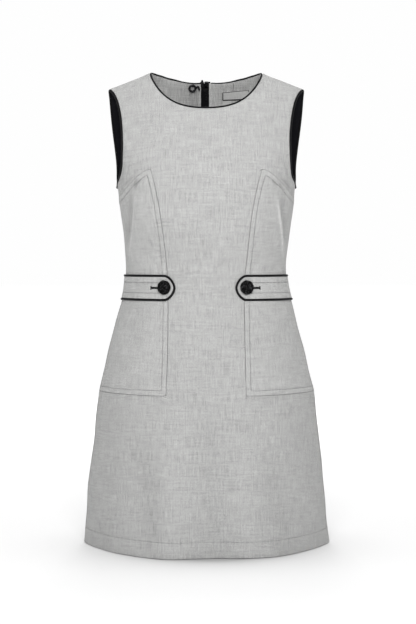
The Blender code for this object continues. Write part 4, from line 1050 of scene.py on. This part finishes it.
def sew(base, matrices, name, finish, slotName="piping", nodes=()):
    # one piece of many copies of a stitch or tooth, which is then taken away
    copies = []
    for matrix in matrices:
        data = base.data.copy()
        data.transform(matrix)
        copies.append(addObject(name, data))
    makeActive(*copies)
    bpy.ops.object.join()
    copies[0].name = name
    finishPiece(copies[0], solids[finish], slotName, nodes)
    bpy.data.objects.remove(base)
    print(name, len(matrices), "copies")


def insideRow(name, run, inset):
    # the line that keeps a set distance inside a stretch of the sheet's edge
    flat = sheets[name]["flat"]
    line = flat[run]
    line = line[np.concatenate(([True], np.linalg.norm(np.diff(line, axis=0), axis=1) > 1e-6))]
    ring = flat[sheets[name]["rings"][0]]
    after = np.roll(ring, -1, axis=0)
    turn = 1.0 if np.sum(ring[:, 0] * after[:, 1] - after[:, 0] * ring[:, 1]) > 0 else -1.0
    spans = np.diff(line, axis=0)
    spans /= np.linalg.norm(spans, axis=1, keepdims=True)
    across = np.stack((-spans[:, 1], spans[:, 0]), axis=1) * turn
    before, behind = np.vstack((across[:1], across)), np.vstack((across, across[-1:]))
    share = 1.0 + np.sum(before * behind, axis=1, keepdims=True)
    moved = line + (before + behind) / np.maximum(share, 0.25) * inset * mm
    return moved[awayFrom(moved, line) > 0.975 * inset * mm]


def stations(line, pitch, length):
    # starts and ends of the stitches along a line on the pattern
    steps = np.concatenate(([0.0], np.cumsum(np.linalg.norm(np.diff(line, axis=0), axis=1))))
    starts = (np.arange(int(steps[-1] / (pitch * mm))) * pitch + threadPlan["start"]) * mm
    ends = np.minimum(starts + length * mm, steps[-1])

    def read(where):
        return np.stack((np.interp(where, steps, line[:, 0]), np.interp(where, steps, line[:, 1])), axis=1)
    return zip(read(starts), read(ends))


def rowMatrices(name, line, keep=None, steps=None, face=1.0, lift=None):
    # a plain row lies now higher and now lower, as an uneven pull leaves it
    matrices = []
    steps = steps or (threadPlan["pitch"], threadPlan["length"])
    for count, (a, b) in enumerate(stations(line, *steps)):
        start, normal = onCloth(name, *a)
        end, _ = onCloth(name, *b)
        if keep and not keep(start.z / mm):
            continue
        pull = threadPlan["uneven"] * math.sin(count * 1.35 + 1.9 * math.sin(count * 0.53))
        rise = normal * (threadPlan["lift"] + pull if lift is None else lift) * mm
        matrices.append(lineMatrix(start + rise, end + rise, normal * face))
    return matrices


def edgeMatrices(name, edgeName, inset, *settings):
    matrices = []
    for run in edgeRuns(name, edgeTests[edgeName]):
        line = insideRow(name, run, inset)
        if len(line) > 1:
            matrices += rowMatrices(name, line, *settings)
    return matrices


def patternPlace(name, x, z, side=-1):
    # the place on the pattern of the cloth seen at x and z from the front or back
    sheet = sheets[name]
    hit, _, index, _ = sheet["form"].ray_cast(Vector((x * mm, side, z * mm)), Vector((0, -side, 0)))
    if hit is None:
        middle = float(sheet["points"][:, 1].mean())
        hit, _, index, _ = sheet["form"].find_nearest(Vector((x * mm, middle, z * mm)))
    corners = list(sheet["triangles"][index])
    return shares(*(Vector(sheet["points"][k]) for k in corners), hit) @ sheet["flat"][corners]


sewing = (
    # sheet, edge, piece, finish, how high and low its stitches are kept
    ("frontCloth", "hem", "hemRowFront", "paleThread", None),
    ("frontCloth", "sideSeam", "sideRowsFront", "midThread", lambda z: z > -802.0),
    ("sidePanel*", "panelEdge", "panelRow*", "midThread", lambda z: z < -393.0 or -347.0 < z < -216.0),
    ("sidePanel*", "panelEdge", "bustRow*", "thread", lambda z: z > -216.0),
    ("sidePanel*", "sideSeam", "pocketSideRow*", "midThread", None),
    ("backCloth*", "hem", "hemRowBack*", "paleThread", None),
    ("backCloth*", "zipEdge", "zipRow*", "thread", lambda z: z < -3.0),
    ("tab*", "tabTop", "tabRowTop*", "thread", None),
    ("tab*", "tabFoot", "tabRowFoot*", "midThread", None),
)
for sheetName, edgeName, pieceName, finish, keep in bothSides(sewing):
    inset = next(plan[1] for plan in rowPlans[sheetName] if plan[0] == edgeName)
    stitch = makeStitch("rowStitch", threadPlan["radius"])
    sew(stitch, edgeMatrices(sheetName, edgeName, inset, keep), pieceName, finish)

# dark stitches round the neck label's edges, made thick so that they also serve as the painted shade under
# its edges, and the pale rows that hold the facing, all on the inner side
insidePlans = (
    # sheet, edge, piece, inset, pitch and length, lift, thickness of the thread, finish
    ("neckLabel", "labelSide", "labelSideEdge", 0.5, (0.9, 1.0), -0.85, 3.0, "blackThread"),
    ("neckLabel", "labelFoot", "labelFootEdge", 0.5, (0.9, 1.0), -0.85, 4.2, "blackThread"),
    ("neckLabel", "labelTop", "labelTopEdge", 0.5, (1.2, 1.2), -0.8, 2.2, "thread"),
    ("neckFacing*", "facingEdge", "facingRow*", 5.5, (2.8, 2.2), -1.1, 0.9, "paleThread"),
)
for sheetName, edgeName, pieceName, inset, steps, lift, thickness, finish in bothSides(insidePlans):
    stitch = makeStitch("fatStitch", threadPlan["radius"] * thickness)
    sew(stitch, edgeMatrices(sheetName, edgeName, inset, None, steps, -1.0, lift), pieceName, finish)

# the facing's own seam at the right
seamPlan = {"foot": (48.5, -16.0), "top": (49.5, 0.5), "radius": 0.46, "steps": (1.6, 1.5), "lift": -1.12}
foot, top = (patternPlace("neckFacingRight", *seamPlan[end]) for end in ("foot", "top"))
line = np.array([foot + (top - foot) * share for share in np.linspace(0.0, 1.0, 12)])
seam = rowMatrices("neckFacingRight", line, None, seamPlan["steps"], -1.0, seamPlan["lift"])
sew(makeStitch("facingStitch", seamPlan["radius"], 6.0), seam, "facingSeamRight", "thread")


# -- buttonholes: a slit, a purl of short stitches on both sides and a bar tack at the outer end

holePlan = {
    "from": 83.4, "to": 95.2, "height": -370.0, "reach": 1.9, "gap": 0.1, "pitch": 0.52, "radius": 0.30,
    "tack": 3.2, "tackStart": 0.3, "tackPitch": 0.42, "barPitch": 0.66, "bar": 2.1,
}


def makeButtonhole(sheetName, pieceName, sign):
    plan = {name: value * mm for name, value in holePlan.items()}
    back = max(0, sign) * -tabShift["across"]
    places = (sign * holePlan[end] - back for end in ("from", "to"))
    start, end = (patternPlace(sheetName, x, holePlan["height"]) for x in places)
    long = float(np.linalg.norm(end - start))
    along = (end - start) / long
    across = np.array((-along[1], along[0]))
    pairs = [(start, end, 0.02)]      # from, to and lift in mm
    for k in range(int(long / plan["pitch"]) + 1):
        middle = start + along * k * plan["pitch"]
        for side in (-1, 1):
            pairs.append((middle + across * side * plan["gap"], middle + across * side * plan["reach"], 0.16))
    for k in range(5):
        middle = end + along * (plan["tackStart"] + plan["tackPitch"] * k)
        pairs.append((middle - across * plan["tack"], middle + across * plan["tack"], 0.2))
    for k in range(9):
        middle = end + along * plan["gap"] + across * (k - 4) * plan["barPitch"]
        pairs.append((middle, middle + along * plan["bar"], 0.5))
    matrices = []
    for a, b, lift in pairs:
        first, normal = onCloth(sheetName, *a)
        last, _ = onCloth(sheetName, *b)
        matrices.append(lineMatrix(first + normal * lift * mm, last + normal * lift * mm, normal))
    sew(makeStitch("purl", holePlan["radius"], 6.0), matrices, pieceName, "blackThread")


makeButtonhole("tabLeft", "buttonholeLeft", -1)
makeButtonhole("tabRight", "buttonholeRight", 1)


# -- buttons: domes plaited from leather strips, on a thread shank

buttonPlan = {
    "radius": 11.75, "rim": 2.4, "dome": 2.35, "cells": 46, "strip": 4.3, "relief": 1.15, "facets": 0.016,
    "turn": 38.0, "lean": 9.0, "lift": 1.1,
    "rings": ((0.992, 1.5), (0.955, 0.6), (0.88, 0.12), (0.7, 0.0), (0.35, 0.0)),     # radius share, height
    "shank": ((1.5, -0.15), (1.5, -0.5), (1.6, -0.85)), "cord": 0.3,                   # ring radius, height
}


def plait(a, b):
    # height from 0 to 1 of strips that pass over and under each other, a and b in strip widths
    cellA, cellB = np.floor(a), np.floor(b)
    alongA, alongB = 2.0 * (a - cellA) - 1.0, 2.0 * (b - cellB) - 1.0
    over = (cellA + cellB) % 2 == 0
    across = np.where(over, alongB, alongA)
    along = np.where(over, alongA, alongB)
    return np.clip(1.0 - across**4, 0.0, 1.0) ** 0.5 * (1.0 - 0.55 * along**2)


def buttonFrame(nodeName):
    # stands a button on its solid's back, square to it and facing out
    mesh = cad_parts[nodeName].data
    points = np.unique(np.round(np.array([v.co[:] for v in mesh.vertices]), 6), axis=0)
    middle = points.mean(axis=0)
    axis = np.linalg.svd(points - middle, full_matrices=False)[2][2]
    if axis[1] > 0:
        axis = -axis
    base = middle + axis * ((points - middle) @ axis).min()
    z = Vector(axis)
    x = Vector((0.0, 0.0, 1.0)).cross(z).normalized()
    return standMatrix(Vector(base), x, z.cross(x), z)


def makeButton(nodeName, pieceName, sign):
    plan = buttonPlan
    count = plan["cells"]
    steps = np.linspace(-1.0, 1.0, count + 1)
    s, t = np.meshgrid(steps, steps, indexing="ij")
    x, y = s * np.sqrt(1.0 - t * t / 2.0), t * np.sqrt(1.0 - s * s / 2.0)
    away = np.minimum(np.hypot(x, y), 1.0)
    turn = math.radians(plan["turn"] * sign)
    a = (x * math.cos(turn) + y * math.sin(turn)) * plan["radius"] / plan["strip"] + 0.5
    b = (-x * math.sin(turn) + y * math.cos(turn)) * plan["radius"] / plan["strip"] + 0.5
    weave = plait(a, b) - 0.5
    scale = plan["radius"] * (1.0 + plan["facets"] * np.cos(7 * np.arctan2(y, x)) + 0.02 * weave * away**6)
    z = plan["rim"] + plan["dome"] * (1.0 - away**2.5) ** 0.7
    z += plan["relief"] * weave * fade((1.04 - away) / 0.2)
    mesh = bmesh.new()
    grid = [[mesh.verts.new(Vector((x[i, j] * scale[i, j], y[i, j] * scale[i, j], z[i, j])) * mm)
             for j in range(count + 1)] for i in range(count + 1)]
    for i in range(count):
        for j in range(count):
            mesh.faces.new((grid[i][j], grid[i + 1][j], grid[i + 1][j + 1], grid[i][j + 1]))
    rim = ([grid[i][0] for i in range(count)] + [grid[count][j] for j in range(count)]
           + [grid[i][count] for i in range(count, 0, -1)] + [grid[0][j] for j in range(count, 0, -1)])
    last = rim
    for share, height in plan["rings"]:
        ring = [mesh.verts.new((v.co.x * share, v.co.y * share, height * mm)) for v in rim]
        for k in range(len(ring)):
            after = (k + 1) % len(ring)
            mesh.faces.new((last[k], ring[k], ring[after], last[after]))
        last = ring
    middle = mesh.verts.new((0.0, 0.0, 0.0))
    for k in range(len(last)):
        mesh.faces.new((last[k], middle, last[(k + 1) % len(last)]))
    bmesh.ops.recalc_face_normals(mesh, faces=mesh.faces[:])
    data = bpy.data.meshes.new(pieceName)
    mesh.to_mesh(data)
    mesh.free()
    lean = Matrix.Rotation(math.radians(-plan["lean"] * sign), 4, "Y")
    data.transform(buttonFrame(nodeName) @ Matrix.Translation((0.0, 0.0, plan["lift"] * mm)) @ lean)
    button = addObject(pieceName, data)

    turns = []
    for radius, height in plan["shank"]:
        deselectAll()
        bpy.ops.mesh.primitive_torus_add(
            major_segments=14, minor_segments=6, major_radius=radius * mm, minor_radius=plan["cord"] * mm,
            location=(0.0, 0.0, height * mm))
        turns.append(bpy.context.object)
    makeActive(*turns)
    bpy.ops.object.transform_apply(location=True, rotation=True, scale=True)
    bpy.ops.object.join()
    shank = bpy.context.object
    shank.name = pieceName + "Shank"
    shank.data.transform(buttonFrame(nodeName))
    for piece in (button, shank):
        shapeTab(piece)
        makeActive(piece)
        bpy.ops.object.shade_smooth()
    finishPiece(button, solids["leather"], "button", [nodeName])
    finishPiece(shank, solids["thread"], "piping")


makeButton("button_left", "buttonLeft", -1)
makeButton("button_right", "buttonRight", 1)
print("buttons ready")


# -- zip: a metal chain on the tape, and the finish of the slider and pull

zipPlan = {
    "pitch": 2.4, "top": -10.8, "foot": -470.0, "size": (2.75, 1.15, 3.0), "middle": 1.0, "out": 0.45,
    "head": 0.72, "round": 0.28, "stop": (4.4, 2.6, 3.3), "stopRound": 0.4,
}


def makeBlock(name, size, head, edge):
    # a small rounded metal block, narrower at its +X end
    deselectAll()
    bpy.ops.mesh.primitive_cube_add(size=1.0)
    block = bpy.context.object
    block.name = name
    for vertex in block.data.vertices:
        vertex.co *= Vector(size) * mm
        if vertex.co.x > 0:
            vertex.co.y *= head
    addModifier(block, "BEVEL", width=edge * mm, segments=1)
    bpy.ops.object.shade_smooth_by_angle(angle=math.radians(35))
    return block


zipTop, zipFoot = (patternPlace("zipTape", 0.0, zipPlan[end], 1) for end in ("top", "foot"))
zipLength = float(np.linalg.norm(zipFoot - zipTop))


def zipSpot(share):
    # the chain's place on the tape, from its top at 0 to its foot at 1, with the ways across, down and out
    point, normal = onCloth("zipTape", *(zipTop + (zipFoot - zipTop) * share))
    ahead, _ = onCloth("zipTape", *(zipTop + (zipFoot - zipTop) * (share + 0.004)))
    down = (ahead - point).normalized()
    return point + normal * zipPlan["out"] * mm, down.cross(normal).normalized(), down, normal


teeth = []
for k in range(2 * int(zipLength / (zipPlan["pitch"] * mm))):
    side = -1 if k % 2 else 1
    point, across, down, normal = zipSpot(min(0.992, k * 0.5 * zipPlan["pitch"] * mm / zipLength))
    point += across * side * zipPlan["middle"] * mm
    teeth.append(standMatrix(point, -across * side, -down * side, normal))
tooth = makeBlock("tooth", zipPlan["size"], zipPlan["head"], zipPlan["round"])
sew(tooth, teeth, "zipChain", "zipMetal", "zip_metal", ["zip_chain"])
stop = makeBlock("zipStop", zipPlan["stop"], 1.0, zipPlan["stopRound"])
stop.data.transform(standMatrix(*zipSpot(0.995)))
finishPiece(stop, solids["zipMetal"], "zip_metal")

for nodeName in ("zip_slider", "zip_pull"):
    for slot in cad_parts[nodeName].material_slots:
        slot.material = solids["zipMetal"]
print("zip ready")


# -- the overcast ring, its hook and the tacks at the top of the zip tape

fastenerPlan = {
    # name, thickening, stretch, ridges of the overcast thread, and the move to the lowered facing, in mm
    "neck_ring": ("neckRing", 0.85, (1.14, 1.0, 1.22), 26, (0.0, -2.4, -2.4)),
    "neck_hook": ("neckHook", 0.75, (1.1, 1.0, 1.25), 0, (0.3, -2.6, -1.6)),
}
ridgeHeight = 0.12
for nodeName, (pieceName, plump, stretch, ridges, move) in fastenerPlan.items():
    piece = copyOfNode(nodeName, pieceName)
    subdivide(piece, 1)
    fatten(piece, plump)
    middle = sum((v.co for v in piece.data.vertices), Vector()) / len(piece.data.vertices)
    normals = [v.normal.copy() for v in piece.data.vertices]
    for vertex, normal in zip(piece.data.vertices, normals):
        away = vertex.co - middle
        ridge = math.sin(ridges * math.atan2(away.z, away.x)) * ridgeHeight * mm
        vertex.co = middle + away * Vector(stretch) + normal * ridge + Vector(move) * mm
    bpy.ops.object.shade_smooth()
    finishPiece(piece, solids["fastener"], "fastener", [nodeName])

tackPlan = {
    # from and to across the tape, lowest and highest stitch, in mm
    "rows": (
        (-12.0, -4.2, -5.0, 4.0), (-5.6, -1.6, -13.0, 1.2), (2.6, 7.4, -4.4, 4.6), (1.6, 5.6, -9.4, -4.8),
        (-2.6, 2.6, -10.8, -7.8),
    ),
    "pitch": 0.6, "under": 1.1, "radius": 0.42, "reach": (-9.0, 4.0),
    # a knot of upright stitches: places across, where it hangs, lean and height
    "knot": (-9.6, -9.0, -8.4, -7.8, -7.2, -6.6, -6.0), "hang": (-7.6, -2.0), "in": 0.7, "drop": 1.5,
    "lean": (0.3, -0.6), "tall": 11.0, "crest": -7.9,
}


def tapeSpot(x, z):
    return onCloth("zipTape", *patternPlace("zipTape", x, z, 1))


tacks = []
for low, high, foot, top in tackPlan["rows"]:
    for k in range(int((top - foot) / tackPlan["pitch"]) + 1):
        z = foot + tackPlan["pitch"] * k
        ends = []
        for x in (low, high):
            point, normal = tapeSpot(max(tackPlan["reach"][0], min(tackPlan["reach"][1], x)), z)
            beyond = Vector((x * mm - point.x, 0.0, max(0.0, z * mm - point.z)))
            ends.append(point - normal * tackPlan["under"] * mm + beyond)
        tacks.append(lineMatrix(*ends, toFront))
edge, _ = tapeSpot(*tackPlan["hang"])
for x in tackPlan["knot"]:
    start = Vector((x * mm, edge.y - tackPlan["in"] * mm, edge.z - tackPlan["drop"] * mm))
    rise = Vector((*tackPlan["lean"], tackPlan["tall"] - abs(x - tackPlan["crest"]))) * mm
    tacks.append(lineMatrix(start, start + rise, toFront))
sew(makeStitch("tackStitch", tackPlan["radius"], 6.0), tacks, "zipTopTacks", "blackThread", "zip_tape")


# -- what each cloth piece was cut to, how it is held, what holds it and what is sewn to it

bothBacks = "backClothLeft backClothRight"
cutPlans = (
    ("frontCloth", (0.577, 0.882), 0.2597, "hung", bothBacks, "hemRowFront sideRowsFront"),
    ("sidePanel*", (0.175, 0.398), 0.0529, "hung", "frontCloth", "panelRow* bustRow* pocketSideRow*"),
    ("backCloth*", (0.286, 0.876), 0.1837, "hung", "frontCloth", "hemRowBack* zipRow*"),
    ("neckFacingLeft", (0.105, 0.096), 0.0078, "hung", "backClothLeft", "facingRowLeft"),
    ("neckFacingRight", (0.105, 0.096), 0.0078, "hung", "backClothRight", "facingRowRight facingSeamRight"),
    ("armFacingFront*", (0.045, 0.225), 0.0052, "hung", "frontCloth", ""),
    ("armFacingBack*", (0.067, 0.229), 0.0074, "hung", "backCloth*", "armPiping*"),
    ("tab*", (0.142, 0.042), 0.0055, "laid", "frontCloth sidePanel*",
     "tabPiping* tabRowTop* tabRowFoot* buttonhole*"),
    ("zipTape", (0.015, 0.506), 0.0075, "hung", bothBacks, "zipChain zipStop zipTopTacks"),
    ("neckLabel", (0.053, 0.018), 0.0009, "laid", "neckFacingRight",
     "labelSideEdge labelFootEdge labelTopEdge"),
    ("careLabel", (0.018, 0.028), 0.0005, "hung", "neckLabel", ""),
)
for pieceName, cut, area, held, restsOn, sewn in bothSides(cutPlans):
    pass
